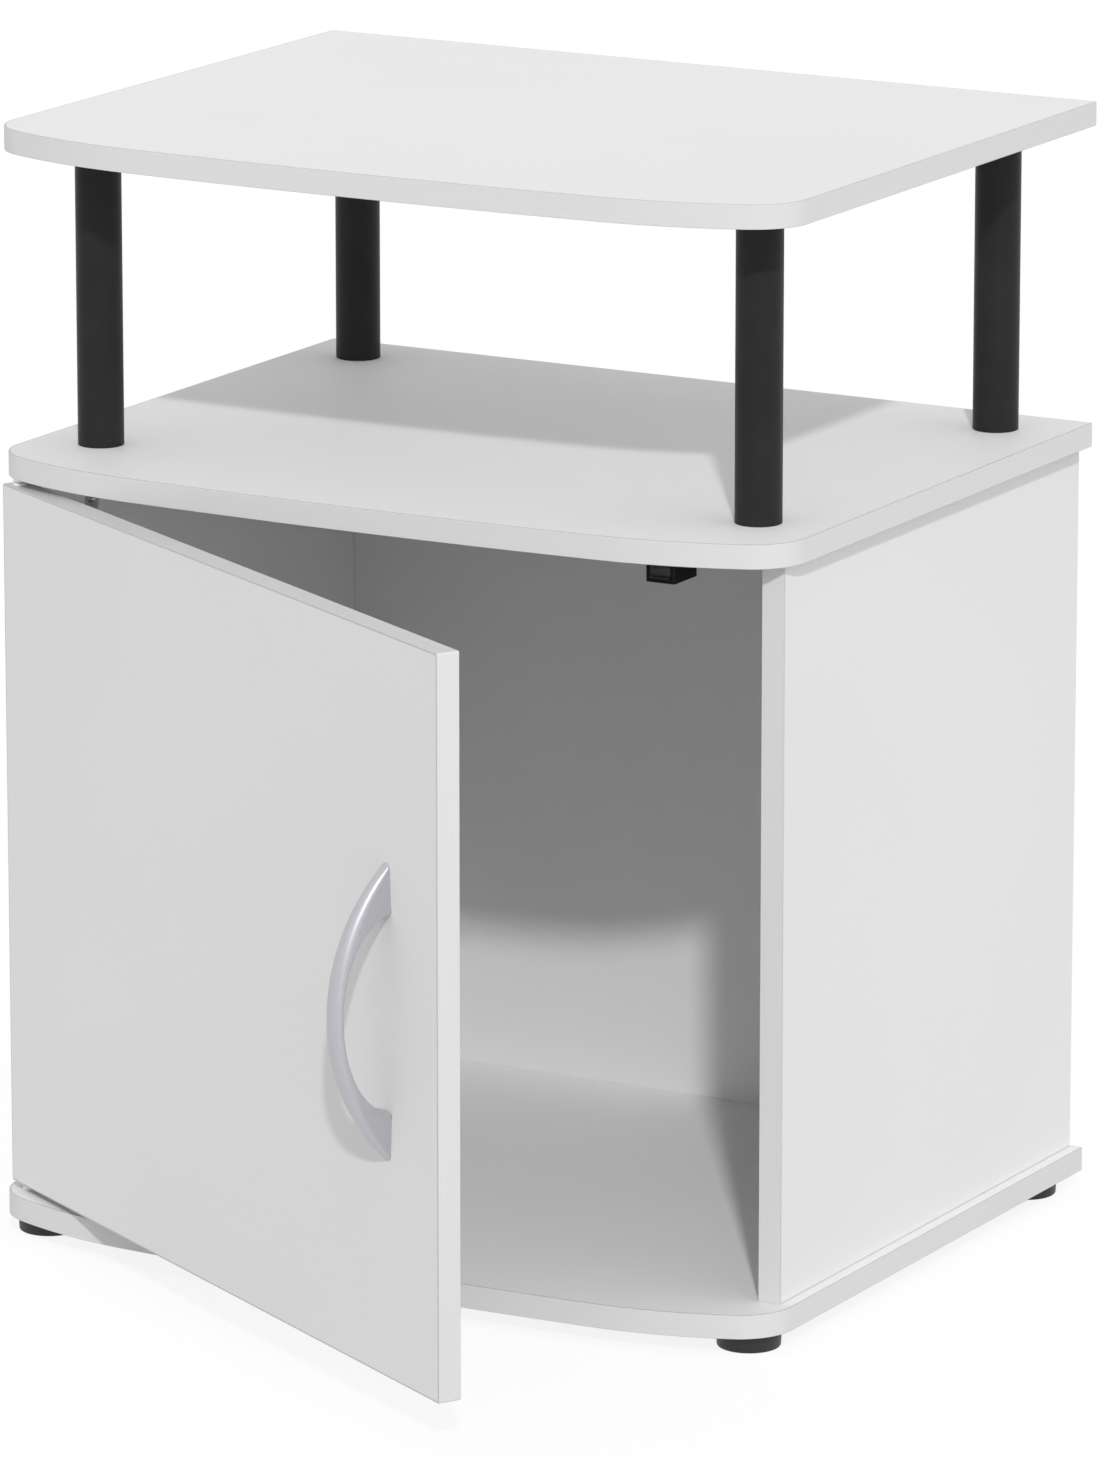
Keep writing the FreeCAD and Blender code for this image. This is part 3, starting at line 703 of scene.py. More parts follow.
@dataclass(frozen=True)
class PowderCoat(Finish):
    """Satin powder coat on steel tube, with its fine orange peel."""

    dark: Colour = (0.0205, 0.0205, 0.0212)
    light: Colour = (0.0245, 0.0245, 0.0252)
    roughness: float = 0.42
    gloss: float = 0.1
    drift_scale: float = 35
    peel_scale: float = 950
    grain_scale: float = 4200
    relief: float = 0.02 * MM

    def make(self) -> Material:
        """Build the material.

        Returns:
            The material.
        """
        bench = ShaderBench(self.name)
        drift = bench.noise(self.drift_scale)
        peel = bench.noise(self.peel_scale, 2, 0.45)
        grain = bench.noise(self.grain_scale, 1)
        height = bench.sum(peel, bench.product(grain, 0.2))
        return bench.dress(base_color=bench.blend(bench.spread(drift, 0, 1), self.dark, self.light),
                           roughness=bench.uneven(self.roughness, drift, (0.03, 0.03), grain, 0.03),
                           specular_ior_level=self.gloss, normal=bench.relief(height, self.relief))


@dataclass(frozen=True)
class MouldedPlastic(Finish):
    """Moulded plastic with a spark-eroded grain."""

    colour: Colour
    scuffed: Colour
    roughness: float = 0.45
    grain: float = 2600
    relief: float = 0.03 * MM
    gloss: float = 0.5
    dust_scale: float = 60

    def make(self) -> Material:
        """Build the material.

        Returns:
            The material.
        """
        bench = ShaderBench(self.name)
        dust = bench.noise(self.dust_scale, 4, 0.6)
        pits = bench.cells(self.grain, feature="SMOOTH_F1").outputs["Distance"]
        colour = bench.blend(bench.spread(dust, 0, 1, (0.45, 0.75)), self.colour, self.scuffed)
        rough = bench.uneven(self.roughness, dust, (0.05, 0.08), pits, 0.03, (0, 1))
        return bench.dress(base_color=colour, roughness=rough, specular_ior_level=self.gloss,
                           normal=bench.relief(pits, self.relief))


@dataclass(frozen=True)
class BareMetal(Finish):
    """Metal with a plated, turned or cast skin."""

    bright: Colour
    dull: Colour
    roughness: float
    grain: float = 1500
    relief: float = 0.01 * MM
    metal: float = 1.0
    cloud_scale: float = 140

    def make(self) -> Material:
        """Build the material.

        Returns:
            The material.
        """
        bench = ShaderBench(self.name)
        clouds = bench.noise(self.cloud_scale, 3, 0.6)
        skin = bench.noise(self.grain, 3, 0.6)
        rough = bench.uneven(self.roughness, clouds, (0.05, 0.08), skin, 0.04)
        return bench.dress(base_color=bench.blend(bench.spread(clouds, 0, 1), self.bright, self.dull),
                           roughness=rough, metallic=self.metal, normal=bench.relief(skin, self.relief))


@dataclass(frozen=True)
class SatinSilver(Finish):
    """Satin silver lacquer with fine metal flakes on the handle."""

    silver: Colour = (0.48, 0.475, 0.51)
    flake: Colour = (0.58, 0.575, 0.61)
    roughness: float = 0.41
    metal: float = 0.62
    coat: float = 0.15
    coat_roughness: float = 0.32
    flake_scale: float = 5200
    drift_scale: float = 45
    lacquer_scale: float = 2600
    relief: float = 0.006 * MM

    def make(self) -> Material:
        """Build the material.

        Returns:
            The material.
        """
        bench = ShaderBench(self.name)
        sparkle = bench.cell_shade(bench.cells(self.flake_scale))
        drift = bench.noise(self.drift_scale)
        colour = bench.blend(bench.spread(sparkle, 0, 0.6, (0.2, 1)), self.silver, self.flake)
        rough = bench.uneven(self.roughness, drift, (0.02, 0.03), sparkle, 0.02, (0, 1))
        return bench.dress(base_color=colour, roughness=rough, metallic=self.metal,
                           coat_weight=self.coat, coat_roughness=self.coat_roughness,
                           normal=bench.relief(bench.noise(self.lacquer_scale), self.relief))


@dataclass(frozen=True)
class BareBeech(Finish):
    """Bare beech with grain along +Z, as the dowels stand."""

    pale: Colour = (0.66, 0.46, 0.27)
    dark: Colour = (0.48, 0.31, 0.17)
    ray_scale: float = 1400
    drift_scale: float = 60
    relief: float = 0.05 * MM

    def make(self) -> Material:
        """Build the material.

        Returns:
            The material.
        """
        bench = ShaderBench(self.name)
        rays = bench.noise(self.ray_scale, 3, 0.6, bench.stretched((1, 1, 0.08)))
        share = bench.sum(bench.product(rays, 0.7), bench.product(bench.noise(self.drift_scale), 0.3))
        return bench.dress(base_color=bench.blend(bench.spread(share, 0, 1), self.pale, self.dark),
                           roughness=bench.spread(rays, 0.6, 0.75),
                           normal=bench.relief(rays, self.relief))


# ---------------------------------------------------------------- rule-made pieces

@dataclass
class BandingShape:
    """Banding of one thickness swept along flat paths, rounded outside, with a fine seam inside."""

    thickness: float = 1.0 * MM
    edge_radius: float = 0.35 * MM
    seam_share: float = 0.3
    sharp_from: float = 1.0
    tree: ShapeBench = field(init=False)

    def __post_init__(self) -> None:
        """Build the tree that sweeps the banding."""
        bench = self.tree = ShapeBench("swept banding")
        thickness, height = bench.input("Thickness", "Float"), bench.input("Height", "Float")
        seam = bench.input("Seam Share", "Float")
        path = bench.result("GeometryNodeMeshToCurve", {"Mesh": bench.geometry})
        path = bench.result("GeometryNodeSetCurveNormal", {"Curve": path}, mode="Z_UP")
        length = bench.add("GeometryNodeSplineParameter").outputs["Length"]
        path, run = bench.capture(path, {"run": length})
        section = bench.result("GeometryNodeCurvePrimitiveQuadrilateral",
                               {"Width": thickness, "Height": height})
        shift = bench.result("ShaderNodeCombineXYZ", {"X": bench.product(thickness, 0.5)})
        section = bench.result("GeometryNodeTransform", {"Geometry": section, "Translation": shift})
        place = bench.result("GeometryNodeInputPosition")
        place = bench.add("ShaderNodeSeparateXYZ", {0: place}).outputs
        section, outside, across = bench.capture(
            section, {"outside": bench.math("DIVIDE", place["X"], thickness), "across": place["Y"]})
        swept = bench.result("GeometryNodeCurveToMesh",
                             {"Curve": path, "Profile Curve": section, "Fill Caps": True})
        angle = bench.add("GeometryNodeInputMeshEdgeAngle").outputs["Unsigned Angle"]
        sharp = bench.math("GREATER_THAN", angle, self.sharp_from)
        size = bench.sum(seam, bench.product(outside, bench.math("SUBTRACT", 1.0, seam)))
        swept = bench.store(swept, "bevel_weight_edge", bench.product(sharp, size), "FLOAT", "EDGE")
        lines = bench.result("ShaderNodeCombineXYZ", {"X": run, "Y": across, "Z": outside})
        bench.close(bench.store(swept, "run", lines, "FLOAT_VECTOR", "POINT"))

    def sweep(self, paths: Paths, height: float, material: Material, place: Matrix,
              closed: bool = True) -> Mesh:
        """Banding along flat paths, each its inner line at mid-height with the outside on the right.

        Args:
            paths: Points of each path.
            height: Height of the banding.
            material: Its finish.
            place: Turns and moves the flat banding into place.
            closed: Whether each path is a loop.

        Returns:
            The banding's mesh.
        """
        host = linked("banding_path", line_mesh("banding_path", paths, closed))
        mesh = self.tree.run(host, {"Thickness": self.thickness, "Height": height,
                                    "Seam Share": self.seam_share, "Finish": material},
                             EdgeRounding(self.edge_radius, by_weight=True))
        mesh.transform(place)
        return mesh


class Drive(Enum):
    """Recess in a fastener's head."""

    NONE = "none"
    CROSS = "cross"
    HEX = "hex"


@dataclass(frozen=True)
class Recess:
    """Driver recess: its form, width over all, depth, arm width and how far a cross narrows."""

    drive: Drive = Drive.NONE
    width: float = 0.0
    depth: float = 0.0
    arm: float = 0.0
    bottom_share: float = 0.45

    def tool(self, top: float) -> bpy.types.Object:
        """Solid to cut away.

        Args:
            top: Height of the head's outer face.

        Returns:
            An object that holds the solid, or an empty mesh when there is no recess.
        """
        mesh = bpy.data.meshes.new("recess_tool")
        with edited(mesh) as shape:
            if self.drive is Drive.HEX:
                radius = self.width / math.sqrt(3)
                bmesh.ops.create_cone(shape, cap_ends=True, segments=6, radius1=radius, radius2=radius,
                                      depth=2 * self.depth)
            elif self.drive is Drive.CROSS:
                self.cross(shape)
        mesh.transform(Matrix.Translation(UP * top))
        return linked("recess_tool", mesh)

    def cross(self, shape: bmesh.types.BMesh) -> None:
        """Add a cross that narrows downwards.

        Args:
            shape: The open mesh to add to.
        """
        half, arm = self.width / 2, self.arm / 2
        plan = [(half, -arm), (half, arm), (arm, arm), (arm, half), (-arm, half), (-arm, arm),
                (-half, arm), (-half, -arm), (-arm, -arm), (-arm, -half), (arm, -half), (arm, -arm)]
        low, high = ([shape.verts.new((x * share, y * share, level)) for x, y in plan]
                     for share, level in ((self.bottom_share, -self.depth),
                                          (2 - self.bottom_share, self.depth)))
        shape.faces.new(reversed(low))
        shape.faces.new(high)
        for index, corner in enumerate(low):
            after = (index + 1) % len(plan)
            shape.faces.new((corner, low[after], high[after], high[index]))


@dataclass
class TurnedShape:
    """Round pieces turned from one outline and set on points, each facing its own way."""

    weld: float = 0.002 * MM
    tree: ShapeBench = field(init=False)

    def __post_init__(self) -> None:
        """Build the tree that turns, cuts and sets out the pieces."""
        bench = self.tree = ShapeBench("turned pieces")
        outline, recess = bench.input("Outline", "Object"), bench.input("Recess", "Object")
        cut, segments = bench.input("Has Recess", "Bool"), bench.input("Segments", "Int")
        line = bench.add("GeometryNodeObjectInfo", {"Object": outline}).outputs["Geometry"]
        line = bench.result("GeometryNodeMeshToCurve", {"Mesh": line})
        circle = bench.result("GeometryNodeCurvePrimitiveCircle",
                              {"Resolution": segments, "Radius": 1.0})
        circle = bench.result("GeometryNodeSetCurveNormal", {"Curve": circle}, mode="Z_UP")
        turned = bench.result("GeometryNodeCurveToMesh", {"Curve": circle, "Profile Curve": line})
        turned = bench.result("GeometryNodeMergeByDistance",
                              {"Geometry": turned, "Distance": self.weld})
        tool = bench.add("GeometryNodeObjectInfo", {"Object": recess}).outputs["Geometry"]
        recessed = bench.result("GeometryNodeMeshBoolean", {"Mesh 1": turned, "Mesh 2": tool},
                                operation="DIFFERENCE")
        piece = bench.result("GeometryNodeSwitch", {"Switch": cut, "False": turned, "True": recessed},
                             input_type="GEOMETRY")
        facing = bench.result("GeometryNodeInputNamedAttribute", {"Name": "facing"},
                              data_type="FLOAT_VECTOR")
        turn = bench.result("FunctionNodeAlignRotationToVector", {"Vector": facing}, axis="Z")
        bench.close(bench.result("GeometryNodeInstanceOnPoints",
                                 {"Points": bench.geometry, "Instance": piece, "Rotation": turn}))

    def make(self, outline: Outline, places: Places, material: Material, closed: bool = False,
             segments: int = 48, recess: Recess = Recess()) -> Mesh:
        """Turn an outline and set copies of it on places.

        Args:
            outline: Points of radius and height, from the bottom up along the outside.
            places: Where each copy stands and the way its height points.
            material: The finish.
            closed: Whether the outline is a loop round a bore.
            segments: Sides of the turned piece.
            recess: Driver recess in its top.

        Returns:
            One mesh that holds all copies.
        """
        section = [Vector((radius - 1.0, -height, 0)) for radius, height in outline]
        profile = linked("turning_outline", line_mesh("turning_outline", [section], closed))
        tool = recess.tool(max(height for _, height in outline))
        points = line_mesh("turning_places", [[place] for place, _ in places], closed=False)
        facing = points.attributes.new("facing", "FLOAT_VECTOR", "POINT")
        facing.data.foreach_set("vector", [value for _, way in places for value in way])
        mesh = self.tree.run(linked("turning_places", points), {
            "Outline": profile, "Recess": tool, "Has Recess": recess.drive is not Drive.NONE,
            "Segments": segments, "Finish": material})
        for helper in (profile, tool):
            bpy.data.objects.remove(helper)
        with edited(mesh):
            pass  # closing it turns the faces outwards
        return smooth_mesh(mesh)


@dataclass(frozen=True)
class ScrewSize:
    """Cross-head screw: a domed pan head, or a flat head sunk in its seat."""

    thread: float
    head: float
    head_height: float = 0.0
    point_share: float = 0.35
    dome_share: float = 0.65
    foot_share: float = 0.97
    sunk_rim: tuple[float, float] = (-0.15 * MM, -0.02 * MM)
    cross_shares: tuple[float, float, float] = (0.55, 0.22, 0.13)

    def outline(self, length: float) -> Outline:
        """Half outline of the screw.

        Args:
            length: Length from the seat to the point.

        Returns:
            Points from the point to the head's middle; height 0 is the seat.
        """
        thread, head, height = self.thread / 2, self.head / 2, self.head_height
        tip = [(0, -length), (thread * self.point_share, -length), (thread, self.thread - length)]
        if height == 0:
            return [*tip, (thread, thread - head), *((head, level) for level in self.sunk_rim), (0, 0)]
        crown = [(head * math.cos(turn), height * (1 - self.dome_share * (1 - math.sin(turn))))
                 for turn in map(math.radians, range(0, 90, 15))]
        return [*tip, (thread, 0), (head * self.foot_share, 0), *crown, (0, height)]

    def recess(self) -> Recess:
        """Cross recess that fits the head."""
        return Recess(Drive.CROSS, *(self.head * share for share in self.cross_shares))


# ---------------------------------------------------------------- what the sub-assemblies share

class DoorFrame:
    """The door's own frame when shut, and the turn that opens it to its rest angle."""

    def __init__(self) -> None:
        """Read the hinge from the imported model."""
        hinge = frame["joints"][0]
        self.pivot = Vector(hinge["pos_m"])
        self.pivot.z = 0.0
        self.rest_angle = math.radians(-hinge["range_deg"][0])

    def opened(self) -> Matrix:
        """Matrix that takes a point of the shut door to its rest place."""
        return (Matrix.Translation(self.pivot) @ Matrix.Rotation(-self.rest_angle, 4, "Z")
                @ Matrix.Translation(-self.pivot))

    def outward(self) -> Vector:
        """The way the door's front faces at rest."""
        return self.opened().to_3x3() @ Vector((0, -1, 0))

    def shut_box(self, node: str) -> tuple[Vector, Vector]:
        """Box of a node on the door with the door shut.

        Args:
            node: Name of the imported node.

        Returns:
            Its lowest and highest corner.
        """
        shut = self.opened().inverted()
        points = [shut @ vertex.co for vertex in frame["nodes"][node].data.vertices]
        return Vector(map(min, *points)), Vector(map(max, *points))


@dataclass
class Kit:
    """What every sub-assembly is made with: the door's frame, the looks and two rule-made shapes."""

    door: DoorFrame
    looks: dict[str, Look]
    banding: BandingShape = field(default_factory=BandingShape)
    turned: TurnedShape = field(default_factory=TurnedShape)


@dataclass
class SubAssembly(ABC):
    """Pieces of the table that are made with one kit and, unless they say so, ride on one body."""

    kit: Kit
    body: ClassVar[Body] = Body.CABINET

    @abstractmethod
    def build(self) -> None:
        """Build and dress the pieces."""

    def dress(self, look: str, *nodes: str) -> None:
        """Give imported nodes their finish.

        Args:
            look: Short name of the finish.
            *nodes: Names of the nodes.
        """
        material = self.kit.looks[look].material
        for node in nodes:
            for slot in frame["nodes"][node].material_slots:
                slot.material = material
            LOG.info("%s: finished as %s", node, material.name)

    def hand_over(self, name: str, mesh: Mesh, look: str, *nodes: str,
                  body: Body | None = None) -> None:
        """Finish a piece: dress it, let it stand for its nodes and seat it on its body.

        Args:
            name: Name of the piece.
            mesh: Its mesh, in place.
            look: Short name of its finish.
            *nodes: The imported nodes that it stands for.
            body: The body that it rides on, where that isn't the sub-assembly's own.
        """
        material, slot = self.kit.looks[look]
        seat = body or self.body
        mesh.name = name
        mesh.materials.clear()
        mesh.materials.append(material)
        piece = linked(name, mesh)
        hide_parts(*nodes)
        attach(piece, seat.value)
        LOG.info("%s: %d faces for %s on %s", name, len(mesh.polygons), ", ".join(nodes), seat.value)

    def turn(self, name: str, outline: Outline, places: Places, look: str, *nodes: str,
             body: Body | None = None, **options: object) -> None:
        """Hand over round pieces turned from one outline.

        Args:
            name: Name of the piece.
            outline: Points of radius and height, from the bottom up along the outside.
            places: Where each copy stands and the way its height points.
            look: Short name of its finish.
            *nodes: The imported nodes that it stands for.
            body: The body that it rides on, where that isn't the sub-assembly's own.
            **options: What TurnedShape.make takes besides: closed, segments and recess.
        """
        mesh = self.kit.turned.make(outline, places, self.kit.looks[look].material, **options)
        self.hand_over(name, mesh, look, *nodes, body=body)

    def drive_in(self, node: str, size: ScrewSize, length: float, places: Places,
                 segments: int = 32) -> None:
        """Hand over the cross-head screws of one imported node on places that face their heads' way."""
        self.turn(node + "_cross_head", size.outline(length), places, "steel", node,
                  segments=segments, recess=size.recess())

    def band(self, name: str, node: str, paths: Paths, height: float, place: Matrix,
             closed: bool = True) -> None:
        """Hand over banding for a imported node.

        Args:
            name: Name of the piece.
            node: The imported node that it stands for.
            paths: Points of each flat path, the banding's inner line at mid-height.
            height: Height of the banding.
            place: Turns and moves the flat banding into place.
            closed: Whether each path is a loop.
        """
        material = self.kit.looks["banding"].material
        mesh = self.kit.banding.sweep(paths, height, material, place, closed)
        self.hand_over(name, mesh, "banding", node)

    def soften(self, name: str, node: str, look: str, rounding: EdgeRounding) -> None:
        """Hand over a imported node's own form with its edges rounded."""
        self.hand_over(name, softened_copy(node, rounding), look, node)


# ---------------------------------------------------------------- sub-assemblies

@dataclass
class Boards(SubAssembly):
    """Top, middle and bottom board, each a melamine core inside its banding."""

    bow_radius: float = 2600 * MM
    shoulder_radius: float = 240 * MM
    corner_radius: float = 32 * MM
    shoulder_span: float = 98 * MM
    back_corner_radius: float = 0.05 * MM
    bow_steps: int = 36
    shoulder_steps: int = 20
    corner_steps: int = 14

    def outline(self, node: str, inset: float) -> list[Vector]:
        """Flat outline of a board, moved in from its edge.

        Args:
            node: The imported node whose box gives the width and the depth.
            inset: Distance in from the edge.

        Returns:
            Points at height 0, counterclockwise from the middle of the back edge.
        """
        low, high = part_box(node)
        half = high.x
        bow_turn = math.asin((half - self.shoulder_span) / self.bow_radius)
        bow = Vector((0, low.y + self.bow_radius, 0))
        shoulder = bow + spoke(bow_turn) * (self.bow_radius - self.shoulder_radius)
        reach = half - self.corner_radius - shoulder.x
        shoulder_turn = math.asin(reach / (self.shoulder_radius - self.corner_radius))
        corner = shoulder + spoke(shoulder_turn) * (self.shoulder_radius - self.corner_radius)
        small = self.back_corner_radius
        back = Vector((half - inset - small, high.y - inset - small, 0))
        right = arc(shoulder, self.shoulder_radius - inset, bow_turn, shoulder_turn,
                    self.shoulder_steps)[1:]
        right += arc(corner, self.corner_radius - inset, shoulder_turn, math.pi / 2,
                     self.corner_steps)[1:]
        right += arc(back, small, math.pi / 2, math.pi, TIGHT_STEPS)
        left = [Vector((-point.x, point.y, 0)) for point in reversed(right)]
        front = arc(bow, self.bow_radius - inset, -bow_turn, bow_turn, self.bow_steps)
        return [Vector((0, high.y - inset, 0)), *left, *front, *right]

    def build(self) -> None:
        """Build and dress the three boards."""
        self.dress("board", "top_board", "middle_board", "bottom_board")
        for name in ("top", "middle", "bottom"):
            node = name + "_board_edge_band"
            low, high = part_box(node)
            self.band(name + "_board_banding", node, [self.outline(node, self.kit.banding.thickness)],
                      high.z - low.z, Matrix.Translation(UP * (low.z + high.z) / 2))


@dataclass
class CabinetShell(SubAssembly):
    """Side panels with their front banding, the back panel and the hidden joints."""

    joint_line: float = 0.55 * MM
    cam_radius: float = 7.5 * MM
    cam_depth: float = 9.5 * MM
    cam_face_step: float = 0.3 * MM
    cam_rim: float = 0.5 * MM
    cam_edge_radius: float = 0.15 * MM
    cam_slot: Recess = Recess(Drive.CROSS, 8 * MM, 1.8 * MM, 1.4 * MM)

    def build(self) -> None:
        """Build and dress the shell."""
        joint = EdgeRounding(self.joint_line, 2, by_weight=True, profile=0.0)
        for node in ("left_side_panel", "right_side_panel"):
            self.soften(node + "_board", node, "panel", joint)
        self.dress("back", "back_panel")
        self.dress("steel", "cam_bolts")
        self.dress("beech", "dowels")
        self.front_banding()
        self.cams()

    def front_banding(self) -> None:
        """Banding strips on the side panels' front edges, swept flat and stood up."""
        low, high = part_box("side_panel_edge_bands")
        width, half_length = high.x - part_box("right_side_panel")[0].x, (high.z - low.z) / 2
        paths = [[Vector((-half_length, 0, x)), Vector((half_length, 0, x))]
                 for x in (low.x + width / 2, high.x - width / 2)]
        stand = (Matrix.Translation((0, high.y, low.z + half_length))
                 @ Matrix.Rotation(-math.pi / 2, 4, "Y"))
        self.band("side_panel_banding", "side_panel_edge_bands", paths, width, stand, False)

    def cams(self) -> None:
        """Die-cast cam discs in the inner faces of the side panels."""
        low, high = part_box("cam_locks")
        radius, step = self.cam_radius, self.cam_face_step
        inside = radius - self.cam_rim
        outline = [(0, -self.cam_depth), (radius, -self.cam_depth), (radius, 0), (inside, 0),
                   (inside - step, -step), (0, -step)]
        inner_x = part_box("right_side_panel")[0].x
        places = [(Vector((side * inner_x, y, z)), Vector((-side, 0, 0))) for side in (-1, 1)
                  for y in (low.y + radius, high.y - radius) for z in (low.z + radius, high.z - radius)]
        self.turn("cam_lock_discs", rounded(outline, [0, 0, self.cam_edge_radius, 0, 0, 0], False),
                  places, "zinc", "cam_locks", segments=56, recess=self.cam_slot)


@dataclass
class TubeFrame(SubAssembly):
    """Four tubes between the boards, their plugs and the bolts that tie them."""

    wall: float = 1.5 * MM
    rim_radius: float = 0.35 * MM
    bolt_head_radius: float = 7.0 * MM
    bolt_head_height: float = 2.5 * MM
    bolt_thread_radius: float = 3.0 * MM
    bolt_socket: Recess = Recess(Drive.HEX, 4 * MM, 1.7 * MM)
    washer_bore: float = 3.1 * MM

    def build(self) -> None:
        """Build and dress the tubes and what ties them."""
        self.dress("nylon", "tube_lower_plugs", "tube_upper_plugs")
        self.dress("brass", "insert_nuts")
        self.tubes()
        self.ties()

    def tubes(self) -> None:
        """Tubes with slightly broken rims."""
        low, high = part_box(TUBES[0])
        outer, length = (high.x - low.x) / 2, high.z - low.z
        inner = outer - self.wall
        outline = rounded([(inner, 0), (outer, 0), (outer, length), (inner, length)],
                          [self.rim_radius] * 4, True)
        self.turn("corner_tubes", outline, spots(TUBES, low.z, UP), "coat", *TUBES, closed=True,
                  segments=96)

    def ties(self) -> None:
        """Socket-head bolts and washers under the middle board."""
        low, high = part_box("tie_bolts")
        head, height, thread = self.bolt_head_radius, self.bolt_head_height, self.bolt_thread_radius
        seat = low.z + height
        outline = rounded([(0, seat - high.z), (thread, seat - high.z), (thread, 0), (head, 0),
                           (head, height), (0, height)], mm(0, 0.5, 0, 0.3, 0.9, 0), False)
        self.turn("tie_bolts_socket_head", outline, spots(TUBES, seat, DOWN), "steel", "tie_bolts",
                  recess=self.bolt_socket)
        low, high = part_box("tie_washers")
        bore, outer, thick = self.washer_bore, high.x - middle_of("front_right_tube").x, high.z - low.z
        ring = rounded([(bore, 0), (outer, 0), (outer, thick), (bore, thick)],
                       mm(0.2, 0.3, 0.3, 0.2), True)
        self.turn("tie_washers_pressed", ring, spots(TUBES, high.z, DOWN), "steel", "tie_washers",
                  closed=True)


@dataclass
class Feet(SubAssembly):
    """Moulded feet and the screws in their bores."""

    taper: float = 0.6 * MM
    bore_depth: float = 5.0 * MM
    bore_radius: float = 4.5 * MM
    hole_radius: float = 1.85 * MM
    screw: ScrewSize = ScrewSize(3.5 * MM, 7 * MM, 2.2 * MM)

    def build(self) -> None:
        """Build and dress the feet and their screws."""
        low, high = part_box(FEET[0])
        top, height = (high.x - low.x) / 2, high.z - low.z
        bore, hole, depth = self.bore_radius, self.hole_radius, self.bore_depth
        outline = rounded([(bore, 0), (top - self.taper, 0), (top, height), (hole, height),
                           (hole, depth), (bore, depth)],
                          mm(0.4, 1.2, 0.35, 0, 0, 0.3), True, TIGHT_STEPS)
        self.turn("moulded_feet", outline, spots(FEET, low.z, UP), "foot", *FEET, closed=True,
                  segments=80)
        seat = low.z + depth
        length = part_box("foot_screws")[1].z - seat
        self.drive_in("foot_screws", self.screw, length, spots(FEET, seat, DOWN))


@dataclass
class PivotHinge(SubAssembly):
    """Collared pins in the boards and flanged bushes in the door."""

    pin_radius: float = 2.5 * MM
    collar_radius: float = 4.0 * MM
    collar_height: float = 2.2 * MM
    bore_radius: float = 2.55 * MM
    bush_radius: float = 3.75 * MM
    flange_radius: float = 4.2 * MM
    flange_height: float = 1.5 * MM

    def build(self) -> None:
        """Build both pins and both bushes."""
        for level, way, board in (("lower", UP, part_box("bottom_board")[1].z),
                                  ("upper", DOWN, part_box("middle_board")[0].z)):
            self.pin(level, way, board)
            self.bush(level, way)

    def ends(self, node: str, way: Vector) -> tuple[Vector, float]:
        """Where a node starts on the pivot's line along a way, and its length."""
        low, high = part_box(node)
        return Vector((*self.kit.door.pivot.xy, low.z if way is UP else high.z)), high.z - low.z

    def pin(self, level: str, way: Vector, board: float) -> None:
        """Steel pin, its shank in the board and its journal in the bush.

        Args:
            level: Which end of the door it holds, lower or upper.
            way: The way it points.
            board: Height of the board's face.
        """
        node = level + "_pivot_pin"
        place, length = self.ends(node, way)
        sunk = abs(board - place.z)
        pin, collar, lift = self.pin_radius, self.collar_radius, sunk + self.collar_height
        outline = rounded([(0, 0), (pin, 0), (pin, sunk), (collar, sunk), (collar, lift), (pin, lift),
                           (pin, length), (0, length)], mm(0, 0.5, 0, 0.2, 0.35, 0, 0.5, 0), False)
        self.turn(node + "_turned", outline, [(place, way)], "bright steel", node, segments=64)

    def bush(self, level: str, way: Vector) -> None:
        """Nylon bush with its flange outside the door's edge.

        Args:
            level: Which end of the door it sits in, lower or upper.
            way: The way that leads out of its board.
        """
        node = level + "_pivot_bush"
        place, length = self.ends(node, way)
        bore, body, flange, lift = (self.bore_radius, self.bush_radius, self.flange_radius,
                                    self.flange_height)
        outline = rounded([(bore, 0), (flange, 0), (flange, lift), (body, lift), (body, length),
                           (bore, length)], mm(0.25, 0.35, 0.1, 0, 0.2, 0), True)
        self.turn(node + "_moulded", outline, [(place, way)], "white nylon", node, body=Body.DOOR,
                  closed=True, segments=64)


@dataclass
class DoorLeaf(SubAssembly):
    """Door board, its banding and the strike for the catch."""

    body: ClassVar[Body] = Body.DOOR
    corner_radius: float = 0.05 * MM
    strike_edge: EdgeRounding = EdgeRounding(0.25 * MM)
    strike_thickness: float = 1.2 * MM
    screw: ScrewSize = ScrewSize(3 * MM, 5.6 * MM)
    screw_length: float = 9 * MM

    def build(self) -> None:
        """Build and dress the door."""
        self.dress("door", "door_panel")
        self.edge()
        self.strike()

    def edge(self) -> None:
        """Banding round the door, swept flat and stood up."""
        low, high = self.kit.door.shut_box("door_edge_band")
        inset = self.kit.banding.thickness + self.corner_radius
        half_x, half_z = (high.x - low.x) / 2 - inset, (high.z - low.z) / 2 - inset
        path = [Vector((0, half_z + self.corner_radius, 0))]
        for x, y, turn in ((-half_x, half_z, -math.pi), (-half_x, -half_z, -math.pi / 2),
                           (half_x, -half_z, 0.0), (half_x, half_z, math.pi / 2)):
            path += arc(Vector((x, y, 0)), self.corner_radius, turn, turn + math.pi / 2, TIGHT_STEPS)
        stand = (self.kit.door.opened() @ Matrix.Translation((low + high) / 2)
                 @ Matrix.Rotation(math.pi / 2, 4, "X"))
        self.band("door_banding", "door_edge_band", [path], high.y - low.y, stand)

    def strike(self) -> None:
        """Strike plate and its sunk screw."""
        self.soften("strike_plate_pressed", "strike_plate", "steel", self.strike_edge)
        inward = -self.kit.door.outward()
        middle = middle_of("strike_plate") + inward * self.strike_thickness / 2
        self.drive_in("strike_screw", self.screw, self.screw_length, [(middle, inward)])


